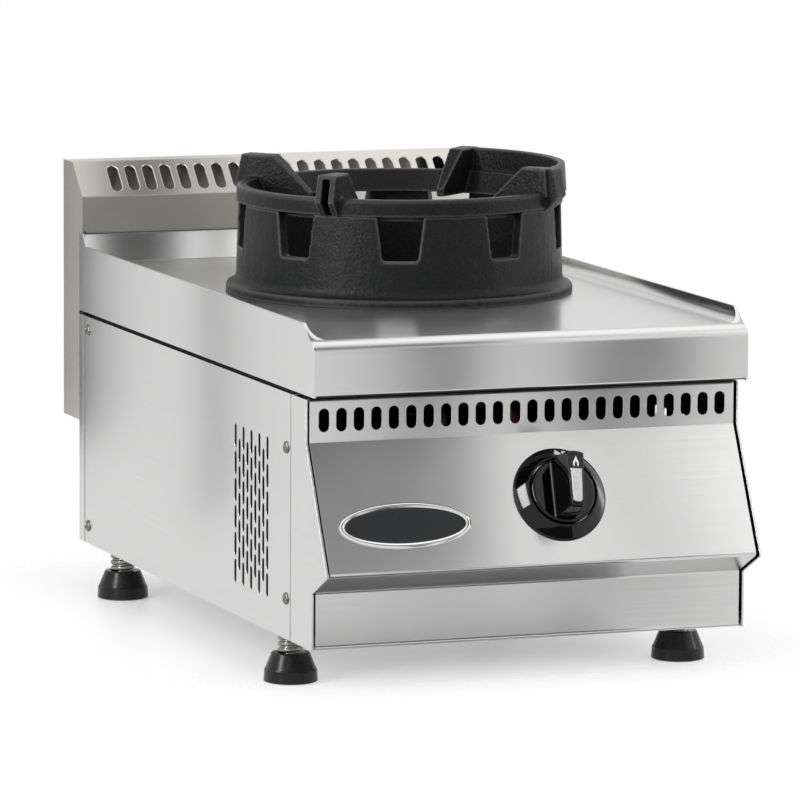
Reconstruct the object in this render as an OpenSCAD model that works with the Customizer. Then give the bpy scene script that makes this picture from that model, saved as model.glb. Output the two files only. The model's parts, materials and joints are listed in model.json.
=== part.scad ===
// Countertop gas wok burner: a folded stainless casing on four screw feet, a hob with raised
// side edges, a slotted flue at the back, one gas tap, and a two-piece cast-iron wok ring.
// Millimetres. +Z is up, +Y points to the back, and the origin is on the floor at the middle
// of the overall width and depth. Depths in the sections below are measured back from the
// hob's front face, and the function fy() turns them into the part's own Y.

/* [Casing] */
// Width over the side panels and the hob
body_w = 400; // [360:5:480]
// Height of the casing, from its lower edge to the hob's skirt
casing_h = 218; // [205:1:260]
// Depth of the back of the casing
casing_d = 657; // [640:1:720]
// Clear height between the floor and the casing
floor_gap = 44; // [40:1:60]
// Thickness of the sheet steel
sheet_t = 1.2; // [0.8:0.1:1.6]
// Outer radius of an ordinary fold
fold_r = 3; // [2:0.5:4]
// Width of the flanges folded inwards
flange_w = 16; // [12:1:20]
// Dark gap between the casing and the hob
shadow_gap = 3.5; // [2:0.5:5]
// How far the spacer bars in that gap stand back
spacer_set = 3; // [2:0.5:6]
// Depth of the seam between the cheeks and the side panels
front_seam = 58; // [50:1:64]
// Width of the back panel's edge that shows at the sides
back_wrap = 16; // [12:1:20]
// Gap in the seams between the outer sheets
seam_gap = 1.5; // [0.5:0.1:3]
// How far the screw tabs reach behind the side panels
tab_lap = 26; // [24:1:32]
// Height of the base tray's edge
tray_h = 12; // [8:1:13]

/* [Front] */
// Depth of the slotted strip's face
strip_set = 22; // [16:1:28]
// Height of the slotted strip
strip_h = 37.5; // [34:0.5:44]
// Height that the slanted control panel covers
panel_drop = 108; // [100:1:114]
// How far the nose stands in front of the hob
nose_out = 33; // [26:1:40]
// Height of the bevel under the nose
bevel_drop = 19; // [14:1:24]
// Depth of the apron's face
apron_set = 5; // [2:1:9]
// Width of the cheeks' hemmed front edge
cheek_edge = 1.8; // [1.4:0.2:3]
// Gap between the cheeks' edge and the front sheet
cheek_gap = 2.1; // [0.5:0.1:3]
// How far the cheeks stand proud of the front sheet
cheek_lip = 1.6; // [1:0.2:2.4]

/* [Slots] */
// Number of slots in the front strip
strip_slots = 24; // [12:1:24]
// Distance of the outermost strip slots from the body's sides
strip_slot_end = 17.15; // [14:0.05:40]
// Width of a strip slot
strip_slot_w = 9.5; // [6:0.5:11]
// Height of a strip slot
strip_slot_h = 20; // [14:1:24]
// Columns of air slots in a side panel
louvre_columns = 9; // [3:2:11]
// Slots in a full column
louvre_rows = 6; // [3:1:6]
// Spacing of the columns
louvre_column_pitch = 10.6; // [9:0.1:12]
// Spacing of the slots in a column
louvre_row_pitch = 24; // [22:0.5:25]
// Length of a side slot
louvre_l = 20.5; // [14:0.5:21]
// Width of a side slot
louvre_w = 6; // [4:0.5:7]
// Depth of the slot field's middle
louvre_mid = 162; // [150:1:240]
// Height of the slot field's middle above the casing's lower edge
louvre_up = 99.5; // [92:0.5:120]

/* [Hob] */
// Height of the hob's skirt
hob_h = 61.5; // [50:0.5:80]
// Height of the raised side edges above the work surface
rim_h = 13; // [8:0.5:16]
// Thickness of a raised side edge, a folded hem
rim_t = 2.4; // [1.6:0.1:3]
// Radius where a side edge meets the work surface
rim_fillet = 12.5; // [4:0.5:13]
// Radius of the hob's front edge
hob_front_r = 11; // [6:0.5:14]
// Depth where the side edges reach full height
rim_front = 28; // [24:1:36]
// Height of the slanted upstand at the back of the work surface
upstand_h = 24; // [16:1:28]
// Depth of the burner's axis
burner_back = 333; // [315:1:350]

/* [Flue] */
// How far the flue's front face stands in front of the casing's back
flue_lap = 10; // [7:1:20]
// Depth of the flue
flue_d = 58.5; // [54:0.5:100]
// Height of the flue's upright front face
flue_face_h = 35; // [25:1:60]
// Rise and depth of the slanted slotted face
flue_slope = 30; // [26:1:34]
// How far the flue hangs below the hob's skirt
flue_hang = 104; // [60:1:130]
// Number of flue slots
flue_slots = 20; // [10:1:20]
// Distance of the outermost flue slots from the body's sides
flue_slot_end = 36.6; // [30:0.1:60]
// Width of a flue slot
flue_slot_w = 10; // [6:0.5:12]
// Length of a flue slot
flue_slot_l = 30; // [20:1:32]

/* [Ring base] */
// Inner diameter
base_in_d = 270; // [250:1:290]
// Thickness of the wall at its top
base_wall = 10.5; // [8:0.5:14]
// How much the wall thickens towards its foot
base_draft = 2; // [1:0.5:4]
// Width of the foot flange outside the wall
base_flange_w = 9; // [7:0.5:14]
// Thickness of the foot flange
base_flange_t = 8; // [6:0.5:12]
// Radius between the wall and the foot flange
base_fillet = 8; // [4:0.5:8.5]
// Height of the ring base
base_h = 81; // [70:1:95]
// Number of windows
windows = 9; // [6:1:10]
// Width of a window at its top
window_top_w = 41.5; // [30:0.5:46]
// Width of a window at its sill
window_sill_w = 31.5; // [22:0.5:34]
// Depth of a window below the top edge
window_h = 40; // [30:1:50]
// Radius of the sill's corners
window_r = 3; // [2:0.5:5]

/* [Pan support] */
// How far the ring band stands out beyond the ring base
band_out = 1.5; // [0.5:0.5:4]
// Height of the ring band
band_h = 15; // [12:0.5:20]
// Thickness of the ring band at its top
band_wall = 9; // [8:0.5:11]
// Depth of the locating skirt inside the ring base
skirt_l = 5; // [4:0.5:10]
// Thickness of the locating skirt
skirt_t = 7; // [5:0.5:9]
// Radial play of the skirt in the ring base
skirt_play = 1; // [0.5:0.1:2]
// Height of the lugs above the band
lug_h = 21; // [15:0.5:30]
// How far the lugs reach in from the ring base's inner wall
lug_reach = 47; // [40:1:54]
// How far inside that wall the lugs' flat tops start
lug_flat_in = 12; // [7:0.5:16]
// How far outside that wall the lugs' flat tops end
lug_flat_out = 19.5; // [16:0.5:23]
// How far outside that wall the lugs reach at the band's top
lug_foot_out = 25; // [24:0.5:29]
// Width of a lug at its outer end
lug_w = 18; // [14:0.5:24]
// Width of a lug at its inner tip
lug_tip_w = 7; // [5:0.5:10]
// Width of the recess in a lug's outer end
lug_slot_w = 7; // [4:0.5:8]
// Thickness over that recess
lug_cap = 3.5; // [3:0.5:6]
// Thickness of the raised guard wall on the right
guard_t = 6; // [5:0.5:8]
// How far the guard wall runs past the front lug, in degrees
guard_past = 5; // [4:0.5:10]
// How far the guard wall overhangs the band
guard_over = 3.5; // [2:0.5:5]
// How far the overhang reaches down the band
guard_drop = 4; // [3:0.5:6]

/* [Burner] */
// Diameter of the burner head
head_d = 116; // [100:1:124]
// Height of the burner head's rim
head_h = 12; // [9:0.5:16]
// Height of the burner head's crown over its rim
head_crown = 10; // [6:0.5:12]
// Height of the burner's top above the work surface
head_up = 10; // [4:1:16]
// Diameter of a flame port
port_d = 3.4; // [2.6:0.1:4]
// Ports in the outer ring
ports_outer = 24; // [16:1:28]
// Ports in the inner ring
ports_inner = 14; // [8:1:16]
// Height of the burner body
cup_h = 66; // [62:1:72]
// Wall of the burner body
cup_wall = 7; // [5:0.5:8]
// Outer diameter of the mixing tube
tube_d = 40; // [36:1:42]
// Wall of the mixing tube
tube_wall = 3.5; // [2.5:0.5:4]
// Length of the mixing tube
tube_l = 145; // [120:1:150]
// Diameter of the mixing tube's mouth
mouth_d = 56; // [52:1:60]
// Gap between the spill bowl's flange and the ring base
bowl_gap = 9; // [4:0.5:12]
// How far the bowl's flange lies on the work surface
bowl_lap = 10; // [6:0.5:14]
// Gap between the bowl and the mixing tube under it
bowl_clear = 2.8; // [1:0.1:6]
// Gap between the bowl's opening and the pilot
pilot_clear = 3.7; // [2:0.1:6]
// Width of the burner bracket
bracket_w = 60; // [50:1:64]
// Depth of the burner bracket
bracket_d = 70; // [50:1:80]

/* [Gas] */
// Diameter of the gas inlet's thread, a half-inch pipe
inlet_d = 20.96; // [16:0.01:27]
// Length of the inlet behind the casing
inlet_l = 30; // [24:1:40]
// Distance of the inlet from the middle
inlet_x = 120; // [90:1:140]
// Height of the inlet above the casing's lower edge
inlet_up = 51; // [45:1:54]
// Outer diameter of the gas pipe
gas_pipe_d = 18; // [14:0.5:19]
// Wall of the gas pipe
gas_pipe_wall = 2; // [1:0.5:2.5]
// Outer diameter of the injector pipe
injector_pipe_d = 10; // [8:0.5:11]
// Outer diameter of the pilot pipe
pilot_pipe_d = 4; // [3:0.5:5]
// Diameter of the thermocouple's lead
lead_d = 2.5; // [2:0.5:3]
// Diameter of the gas tap
valve_d = 34; // [30:1:40]
// Length of the gas tap behind the panel
valve_l = 80; // [76:1:90]
// Diameter of the tap's threaded neck
neck_d = 22; // [18:1:24]
// Diameter of the tap's spindle
spindle_d = 8; // [6:0.5:10]
// Diameter of the tap's plunger
plunger_d = 6; // [5:0.5:7]
// How far the knob is pushed in to open the safety valve
push_travel = 4.5; // [3:0.5:5]

/* [Knob] */
// Distance of the knob from the middle
knob_x = 23; // [-40:1:100]
// Distance of the knob's axis below the fold over the control panel
knob_down = 57.5; // [52:0.5:62]
// Diameter of the bezel
bezel_d = 84; // [76:1:92]
// Height of the bezel
bezel_h = 11; // [8:0.5:14]
// Diameter of the bezel's opening
bezel_in_d = 60; // [56:1:64]
// Radial gap between knob and bezel
bezel_gap = 1; // [0.5:0.1:2]
// Height of the knob above the panel
knob_h = 45; // [40:1:50]
// Length of the knob's grip
grip_l = 51; // [44:1:54]
// Width of the grip's face at its upper end
grip_w = 15.5; // [13:0.5:17]
// Width of the grip's face at its lower end
grip_low_w = 10.5; // [9:0.5:12]
// How much the grip widens on each side towards its foot
grip_flare = 3.5; // [2:0.5:5]
// Radius of the grip's ends at its face
grip_round = 4; // [2:0.5:5]
// How far the knob stands turned to the right when the gas is off, in degrees
off_turn = 6.5; // [0:0.5:10]
// Width of the inlay at its upper end
inlay_w = 10; // [8:0.5:11]
// Width of the inlay at its lower end
inlay_low_w = 8; // [6:0.5:8]
// Length of the inlay
inlay_l = 30; // [24:1:34]

/* [Badge] */
// Width of the bare oval plate
badge_w = 119.5; // [80:0.5:130]
// Height of the bare oval plate
badge_h = 41; // [30:0.5:46]
// Distance of the plate's middle from the body's left side
badge_side = 78; // [70:1:90]
// Distance of the plate below the fold over the control panel
badge_down = 78.5; // [70:0.5:84]

/* [Feet] */
// Gap between a foot's bush and the base tray's edge
foot_clear = 0.4; // [0.2:0.1:10]
// Depth of the front feet
foot_front = 108; // [80:1:130]
// Distance of the rear feet from the casing's back
foot_back = 77; // [50:1:110]
// Diameter of a foot pad at the floor
pad_d = 47.5; // [44:0.5:50]
// Diameter of a foot pad at its top
pad_top_d = 33; // [30:1:36]
// Height of a foot pad
pad_h = 26; // [22:1:28]
// Height of the pad's lower band
pad_band_h = 11; // [8:0.5:13]
// Diameter of a foot's threaded stem
stem_d = 23; // [20:0.5:23]
// Length of a foot's threaded stem
stem_l = 78; // [74:1:84]

/* [Hidden] */
$fn = 96;

// Fits and cuts
over = 2;
run_gap = 0.05;
seat_gap = 0.2;
slip_gap = 0.3;
bend_swell = 0.3;
bend_lap = 0.6;
fold_steps = 6;

// Heights above the floor
base_z = floor_gap;
skirt_z = base_z + casing_h;
side_top_z = skirt_z - shadow_gap;
rim_z = skirt_z + hob_h;
deck_z = rim_z - rim_h;
upstand_z = deck_z + upstand_h;
strip_z = side_top_z - strip_h;
nose_z = strip_z - panel_drop;
apron_z = nose_z - bevel_drop;
tray_z = base_z + sheet_t;
flue_slope_z = upstand_z + flue_face_h;
flue_top_z = flue_slope_z + flue_slope;
flue_bottom_z = skirt_z - flue_hang;

// Sides
half_w = body_w / 2;
tab_x = half_w - sheet_t;
tray_half_w = half_w - 2 * sheet_t;
side_seam = casing_d - back_wrap;
flue_front = casing_d - flue_lap;
flue_back = flue_front + flue_d;
strip_slot_pitch = (body_w - 2 * strip_slot_end) / (strip_slots - 1);
flue_slot_pitch = (body_w - 2 * flue_slot_end) / (flue_slots - 1);
badge_x = half_w - badge_side;

// The slanted control panel
tilt = atan2(strip_set + nose_out, panel_drop);
knob_front = strip_set - knob_down * sin(tilt) - knob_h * cos(tilt) - grip_l / 2 * sin(tilt);

// The origin's depth behind the hob's front face
mid_d = (knob_front + flue_back) / 2;
function fy(depth) = depth - mid_d;
burner_y = fy(burner_back);

// Burner heights
head_top_z = deck_z + head_up;
cup_top_z = head_top_z - head_crown - head_h;
cup_z = cup_top_z - cup_h;
cup_r = head_d / 2 - seat_gap - cup_wall / 2;
cup_rib_r = cup_r + cup_wall;
cup_rib_t = 4;
cup_rib_z = cup_top_z - 2 * cup_rib_t;
tube_r = tube_d / 2;
tube_bore_r = tube_r - tube_wall;
tube_z = cup_z + tube_r + cup_rib_t;
socket_l = 16;
socket_wall = 4;
socket_front = burner_y - cup_r - socket_l;
tube_front = socket_front + socket_l - sheet_t - tube_l;
tube_throat_r = 12;
mouth_l = 18;
hub_r = 11;
hub_l = 12;
spoke_w = 5;
spokes = 3;
head_lip_l = 6;
head_shell = 6;
crown_share = 1 / 3;
outer_ports_share = 0.8;
inner_ports_share = 0.52;
injector_r = 7;
injector_l = 30;
injector_hex_d = 20;
injector_hex_l = 10;
injector_bore_r = 1;

// Pilot and thermocouple, on a bracket at the burner's side
pilot_out = 20;
pilot_reach = cup_r + pilot_out;
pilot_angle = 225;
couple_angle = 208;
pilot_d = 10;
couple_d = 6;
collar_t = 4;
collar_w = 2;
pilot_z = cup_rib_z - 2 * cup_rib_t;
pilot_l = 38;
pilot_bracket_t = 2;
pilot_bracket_z = cup_rib_z + cup_rib_t;
line_bend = 12;
line_turn = 48;
pilot_drop = 40;
lead_drop = 56;

// Spill bowl, which clears the ring base, the mixing tube and the pilot
bowl_flange_d = base_in_d - 2 * bowl_gap;
burner_hole_d = bowl_flange_d - 2 * bowl_lap;
bowl_hole_d = 2 * (pilot_reach + pilot_d / 2 + collar_w + pilot_clear);
bowl_z = tube_z + tube_r + bowl_clear + sheet_t;

// Gas tap, in the panel's own frame: Z points out of the panel
valve_out = 50;
valve_out_l = 28;
valve_out_d = 16;
valve_port_l = 20;
valve_port_d = 9;
pilot_port = 35;
couple_port = 62;
pipe_seat_l = 10;
inlet_hex_l = 6;
inlet_hex_lip = 3;
inlet_tail_r = inlet_d / 2 - slip_gap;
nut_h = 4.5;
nut_d = 32;
neck_proud = 1;
neck_l = nut_h + neck_proud;
knob_lift = 2.5;
knob_spare = 0.5;
knob_roof = 2;
knob_rest = push_travel + knob_lift;
knob_hollow = neck_l + push_travel + knob_spare;
disc_z = knob_hollow + knob_roof;
knob_round = 1.5;
bezel_round = 1.5;
hollow_r = 17.5;
spindle_in = 30;
spindle_out = 32;
plunger_l = 28;
inlay_t = 0.5;
inlay_round = 3;

// Badge
badge_t = 1.2;
badge_rim_up = 1;
badge_rim_w = 3;

// Feet
stem_r = stem_d / 2;
pad_floor = 6;
pad_round = 2;
pad_band_in = 1.5;
bush_h = 22;
bush_wall = 2.5;
bush_r = stem_r + bush_wall;
foot_x = tray_half_w - sheet_t - bush_r - foot_clear;
foot_rear = casing_d - foot_back;

// Fasteners
screw_d = 4.8;
screw_head_d = 11;
screw_head_h = 2.6;
screw_l = 7;
screw_in = 11.5;
screw_low = 17;
screw_low_front = 35.5;
screw_high = 12.5;
screw_high_front = 47.5;

// Screws of one side panel, as depth and height
side_screw_places = [
    [side_seam - screw_in, side_top_z - screw_high], [side_seam - screw_in, base_z + screw_low],
    [front_seam + screw_in, side_top_z - screw_high_front], [front_seam + screw_in, base_z + screw_low_front]];

// Path of the front sheet's outer face, from its top to its lower end
front_face = [
    [fy(strip_set), side_top_z], [fy(strip_set), strip_z], [fy(-nose_out), nose_z],
    [fy(apron_set), apron_z], [fy(apron_set), base_z]];

// Wok ring
base_in_r = base_in_d / 2;
base_top_d = base_in_d + 2 * base_wall;
base_foot_d = base_top_d + 2 * base_draft;
base_flange_d = base_foot_d + 2 * base_flange_w;
band_d = base_top_d + 2 * band_out;
band_in_d = band_d - 2 * band_wall;
lug_tip_r = base_in_r - lug_reach;
lug_in_r = base_in_r - lug_flat_in;
lug_out_r = base_in_r + lug_flat_out;
lug_foot_r = base_in_r + lug_foot_out;
lugs = 4;
lug_turn = 360 / lugs;
lug_tip_h = 3;
base_round = 2.5;
base_top_z = deck_z + base_h;
band_top_z = base_top_z + band_h;
lug_top_z = band_top_z + lug_h;
skirt_r = base_in_r - skirt_play;
band_round = 3;

// Unit vector, and the vector turned left
function unit(v) = v / norm(v);
function left_of(v) = [-v[1], v[0]];

// Points of an arc that rounds the corner at p, between the directions a and b
function fold(p, a, b, r) =
    let (turn = atan2(a[0] * b[1] - a[1] * b[0], a * b),
         start = p - a * r * tan(abs(turn) / 2),
         arm = left_of(a) * r * sign(turn))
    [for (k = [0 : fold_steps])
        let (t = turn * k / fold_steps)
        start + arm - [arm[0] * cos(t) - arm[1] * sin(t), arm[0] * sin(t) + arm[1] * cos(t)]];

// An open path with its inner corners rounded; r holds one radius for each inner corner
function folds(pts, r) = concat(
    [pts[0]],
    [for (i = [1 : len(pts) - 2])
        each fold(pts[i], unit(pts[i] - pts[i - 1]), unit(pts[i + 1] - pts[i]), r[i - 1])],
    [pts[len(pts) - 1]]);

// The point of a path moved t to its right, mitred at the corners
function beside(pts, i, t) =
    let (a = left_of(unit(pts[max(i, 1)] - pts[max(i, 1) - 1])),
         j = min(i, len(pts) - 2),
         b = left_of(unit(pts[j + 1] - pts[j])))
    pts[i] - t * (a + b) / (1 + a * b);

// Closed outline of a folded sheet of thickness t, to the right of the path of its outer face
function sheet_outline(pts, t) =
    concat(pts, [for (i = [len(pts) - 1 : -1 : 0]) beside(pts, i, t)]);

// A depth and height outline drawn across the body's width
module across(w, x = 0) {
    translate([x - w / 2, 0, 0]) rotate([90, 0, 90]) linear_extrude(w) children();
}

// Children stand on the control panel, with Z out of it and Y up along it
module on_panel(x, down) {
    translate([x, fy(strip_set - down * sin(tilt)), strip_z - down * cos(tilt)])
        rotate([90 - tilt, 0, 0]) children();
}

// A slot with round ends, l long over its ends along Y
module slot_shape(w, l) {
    square([w, l - w], center = true);
    for (s = [-1, 1]) translate([0, s * (l - w) / 2]) circle(d = w);
}

// Children placed at p, with Z along the direction d
module along(p, d) {
    w = unit(d);
    u = unit(cross(abs(w[2]) > abs(w[0]) ? [1, 0, 0] : [0, 0, 1], w));
    v = cross(w, u);
    multmatrix([[u[0], v[0], w[0], p[0]], [u[1], v[1], w[1], p[1]], [u[2], v[2], w[2], p[2]]]) children();
}

// One bend of a pipe at p, between the directions a and b
module elbow(p, a, b, r, bend) {
    turn = acos(a * b);
    inward = unit(b - (a * b) * a);
    centre = p - a * bend * tan(turn / 2) + inward * bend;
    x = -inward;
    z = cross(x, a);
    multmatrix([[x[0], a[0], z[0], centre[0]], [x[1], a[1], z[1], centre[1]], [x[2], a[2], z[2], centre[2]]])
        rotate_extrude(angle = turn) translate([bend, 0]) circle(r = r + bend_swell);
}

// A round pipe along points, with every corner bent to the same radius
module pipe_run(pts, r, bend) {
    last = len(pts) - 1;
    way = [for (i = [0 : last - 1]) unit(pts[i + 1] - pts[i])];
    trim = [for (i = [0 : last])
        i == 0 || i == last ? 0 : bend * tan(acos(way[i - 1] * way[i]) / 2) - bend_lap];
    for (i = [0 : last - 1])
        along(pts[i] + way[i] * trim[i], way[i])
            cylinder(r = r, h = norm(pts[i + 1] - pts[i]) - trim[i] - trim[i + 1]);
    for (i = [1 : last - 1]) elbow(pts[i], way[i - 1], way[i], r, bend);
}

// A pipe with its bore, which is cut past both ends
module hollow_pipe(pts, r, wall, bend) {
    last = len(pts) - 1;
    inner = [for (i = [1 : last - 1]) pts[i]];
    start = pts[0] - over * unit(pts[1] - pts[0]);
    finish = pts[last] + over * unit(pts[last] - pts[last - 1]);
    difference() {
        pipe_run(pts, r, bend);
        pipe_run(concat([start], inner, [finish]), r - wall, bend);
    }
}

// A point on the tap's axis, behind the panel's face, with an offset along and up the panel
function tap_point(behind, x = 0, up = 0) = [
    knob_x + x,
    fy(strip_set - (knob_down - up) * sin(tilt) + behind * cos(tilt)),
    strip_z - (knob_down - up) * cos(tilt) - behind * sin(tilt)];

// Holes for the side screws, through the sheet and the tab behind it
module screw_holes() {
    for (p = side_screw_places)
        translate([-half_w - over, fy(p[0]), p[1]])
            rotate([0, 90, 0]) cylinder(d = screw_d + slip_gap, h = over + flange_w);
}

// Shallow pan that closes the casing from below and carries the feet
module base_tray() {
    front = fy(apron_set + 2 * sheet_t);
    back = fy(casing_d - sheet_t);
    color("silver") difference() {
        translate([-tray_half_w, front, base_z]) cube([2 * tray_half_w, back - front, sheet_t + tray_h]);
        translate([sheet_t - tray_half_w, front - over, tray_z])
            cube([2 * (tray_half_w - sheet_t), back - front + over - sheet_t, tray_h + over]);
        at_feet() translate([0, 0, base_z - over]) cylinder(r = stem_r + sheet_t, h = sheet_t + 2 * over);
    }
}

// Left outer sheet with its air slots and the flange that carries the hob
module side_panel() {
    columns = (louvre_columns - 1) / 2;
    front = fy(front_seam + seam_gap);
    depth = side_seam - front_seam - 2 * seam_gap;
    difference() {
        union() {
            translate([-half_w, front, base_z]) cube([sheet_t, depth, side_top_z - base_z]);
            translate([-half_w, front, side_top_z - sheet_t]) cube([flange_w, depth, sheet_t]);
        }
        for (c = [-columns : columns]) {
            short = abs(c) % 2 == columns % 2 ? 0 : 1;
            count = louvre_rows - short;
            for (k = [0 : count - 1])
                translate([-half_w - over, fy(louvre_mid + c * louvre_column_pitch),
                           base_z + louvre_up + (k - (count - 1) / 2) * louvre_row_pitch])
                    rotate([90, 0, 90]) linear_extrude(sheet_t + 2 * over) slot_shape(louvre_w, louvre_l);
        }
        screw_holes();
    }
}

module left_side_panel() color("silver") side_panel();
module right_side_panel() color("silver") mirror([1, 0, 0]) side_panel();

// Left front cheek: a flat plate with a hemmed front edge and a screw tab behind the side panel
module cheek() {
    edge = [for (i = [0 : len(front_face) - 1]) beside(front_face, i, cheek_lip)];
    rear = fy(front_seam);
    difference() {
        union() {
            across(sheet_t, sheet_t / 2 - half_w)
                polygon(concat(edge, [[rear, base_z], [rear, side_top_z]]));
            across(cheek_edge, cheek_edge / 2 - half_w) polygon(sheet_outline(edge, -sheet_t));
            translate([-tab_x, rear - tab_lap / 2, tray_z + tray_h + sheet_t])
                cube([sheet_t, tab_lap / 2 + tab_lap, side_top_z - tray_z - tray_h - 3 * sheet_t]);
        }
        screw_holes();
    }
}

module left_cheek() color("silver") cheek();
module right_cheek() color("silver") mirror([1, 0, 0]) cheek();

// Front sheet in one piece: slotted strip, slanted control panel, bevel and apron
module front_panel() {
    path = concat(
        [[fy(strip_set + flange_w), side_top_z]],
        [for (i = [0 : len(front_face) - 2]) front_face[i]],
        [[fy(apron_set), tray_z], [fy(apron_set + flange_w), tray_z]]);
    w = body_w - 2 * (cheek_edge + cheek_gap);
    strip_mid = (strip_z + side_top_z) / 2;
    color("silver") difference() {
        across(w) polygon(sheet_outline(
            folds(path, [fold_r, fold_r, fold_r, fold_r, fold_r]), -sheet_t));
        for (k = [0 : strip_slots - 1])
            translate([(k - (strip_slots - 1) / 2) * strip_slot_pitch,
                       fy(strip_set) + sheet_t + over, strip_mid])
                rotate([90, 0, 0]) linear_extrude(sheet_t + 2 * over) slot_shape(strip_slot_w, strip_slot_h);
        on_panel(knob_x, knob_down) translate([0, 0, -sheet_t - over])
            cylinder(r = neck_d / 2 + slip_gap, h = sheet_t + 2 * over);
    }
}

// Back sheet, wrapped round the casing's rear corners, with tabs for the side screws
module back_panel() {
    color("silver") difference() {
        union() {
            translate([-half_w, fy(casing_d - sheet_t), base_z])
                cube([body_w, sheet_t, side_top_z - base_z]);
            translate([-half_w, fy(casing_d - flange_w), side_top_z - sheet_t])
                cube([body_w, flange_w, sheet_t]);
            for (s = [0, 1]) mirror([s, 0, 0]) {
                translate([-half_w, fy(side_seam), base_z])
                    cube([sheet_t, back_wrap, side_top_z - base_z]);
                translate([-tab_x, fy(side_seam - tab_lap), tray_z + tray_h + sheet_t - over])
                    cube([sheet_t, tab_lap + back_wrap / 2, side_top_z - tray_z - tray_h - 3 * sheet_t + over]);
            }
        }
        for (s = [0, 1]) mirror([s, 0, 0]) screw_holes();
        translate([inlet_x, fy(casing_d) + over, base_z + inlet_up])
            rotate([90, 0, 0]) cylinder(r = inlet_tail_r + slip_gap, h = sheet_t + 2 * over);
    }
}

// Dark bars that carry the hob in the gap over the casing
module hob_spacers() {
    bar = flange_w - spacer_set - fold_r;
    front = fy(strip_set + spacer_set);
    back = fy(casing_d - spacer_set);
    color("black") {
        for (s = [0, 1]) mirror([s, 0, 0])
            translate([spacer_set - half_w, fy(front_seam), side_top_z])
                cube([bar, side_seam - flange_w - front_seam, shadow_gap]);
        for (y = [front + fold_r, back - bar])
            translate([spacer_set - half_w, y, side_top_z]) cube([body_w - 2 * spacer_set, bar, shadow_gap]);
    }
}

// Side outline of the hob: fascia, rounded front edge, sloped rise to the rim, and upstand
function hob_side() =
    let (front = folds([[fy(0), skirt_z], [fy(0), deck_z], [fy(rim_front), deck_z]], [hob_front_r]),
         slope = [for (i = [0 : len(front) - 2]) front[i]])
    concat(slope, [
        [fy(rim_front), rim_z],
        [fy(flue_front - upstand_h + rim_h), rim_z],
        [fy(flue_front), upstand_z],
        [fy(casing_d), upstand_z],
        [fy(casing_d), skirt_z]]);

// Hob top: fascia, work surface and upstand in one folded sheet, with hemmed side edges
module hob_top() {
    foot = fy(flue_front - upstand_h);
    path = [
        [fy(strip_set + flange_w), skirt_z], [fy(0), skirt_z], [fy(0), deck_z],
        [foot, deck_z], [fy(flue_front), upstand_z], [fy(casing_d), upstand_z]];
    color("silver") difference() {
        union() {
            across(body_w - sheet_t) polygon(sheet_outline(
                folds(path, [fold_r, hob_front_r, fold_r, fold_r]), sheet_t));
            for (s = [0, 1]) mirror([s, 0, 0]) {
                across(rim_t, rim_t / 2 - half_w) polygon(hob_side());
                translate([-half_w, fy(front_seam), skirt_z])
                    cube([flange_w, side_seam - front_seam, sheet_t]);
                intersection() {
                    translate([rim_t - half_w, 0, deck_z - sheet_t / 2]) rotate([90, 0, 0])
                        linear_extrude(casing_d, center = true) difference() {
                            square([rim_fillet, rim_fillet + sheet_t / 2]);
                            translate([rim_fillet, rim_fillet + sheet_t / 2]) circle(r = rim_fillet);
                        }
                    across(body_w) polygon(hob_side());
                }
            }
        }
        translate([0, burner_y, deck_z - 2 * over]) cylinder(d = burner_hole_d, h = 4 * over);
    }
}

// Flue hood: a folded sheet with slots in its slanted face, closed by two side plates
module flue_hood() {
    slope_y = fy(flue_front + flue_slope);
    outer = [
        [fy(flue_front), upstand_z], [fy(flue_front), flue_slope_z], [slope_y, flue_top_z],
        [fy(flue_back), flue_top_z], [fy(flue_back), flue_bottom_z]];
    path = concat([[fy(casing_d), upstand_z]], outer);
    side = concat(outer, [[fy(casing_d), flue_bottom_z], [fy(casing_d), upstand_z]]);
    color("silver") difference() {
        union() {
            across(body_w - sheet_t) polygon(sheet_outline(
                folds(path, [fold_r, fold_r, fold_r, fold_r]), sheet_t));
            for (s = [0, 1]) mirror([s, 0, 0]) {
                across(sheet_t, sheet_t / 2 - half_w) polygon(side);
                translate([-half_w, fy(casing_d), flue_bottom_z])
                    cube([flange_w, sheet_t, side_top_z - flue_bottom_z]);
            }
        }
        for (k = [0 : flue_slots - 1])
            translate([(k - (flue_slots - 1) / 2) * flue_slot_pitch,
                       (fy(flue_front) + slope_y) / 2, (flue_slope_z + flue_top_z) / 2])
                rotate([45, 0, 0]) translate([0, 0, -sheet_t - over])
                    linear_extrude(sheet_t + 2 * over) slot_shape(flue_slot_w, flue_slot_l);
    }
}

// Pan-head screws that hold the side panels
module side_screws() {
    color("gainsboro") for (s = [0, 1]) mirror([s, 0, 0])
        for (p = side_screw_places)
            translate([-half_w, fy(p[0]), p[1]]) rotate([0, -90, 0]) {
                rotate_extrude() intersection() {
                    square([screw_head_d / 2, screw_head_h]);
                    translate([0, screw_head_h - screw_head_d]) circle(r = screw_head_d);
                }
                translate([0, 0, -screw_l]) cylinder(d = screw_d, h = screw_l);
            }
}

// Bare oval plate with a raised rim
module badge_plate() {
    field_w = badge_w - 2 * badge_rim_w;
    field_h = badge_h - 2 * badge_rim_w;
    color("dimgray") on_panel(-badge_x, badge_down) difference() {
        linear_extrude(badge_t + badge_rim_up) scale([1, badge_h / badge_w]) circle(d = badge_w);
        translate([0, 0, badge_t]) linear_extrude(badge_rim_up + over)
            scale([1, field_h / field_w]) circle(d = field_w);
    }
}

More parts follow.
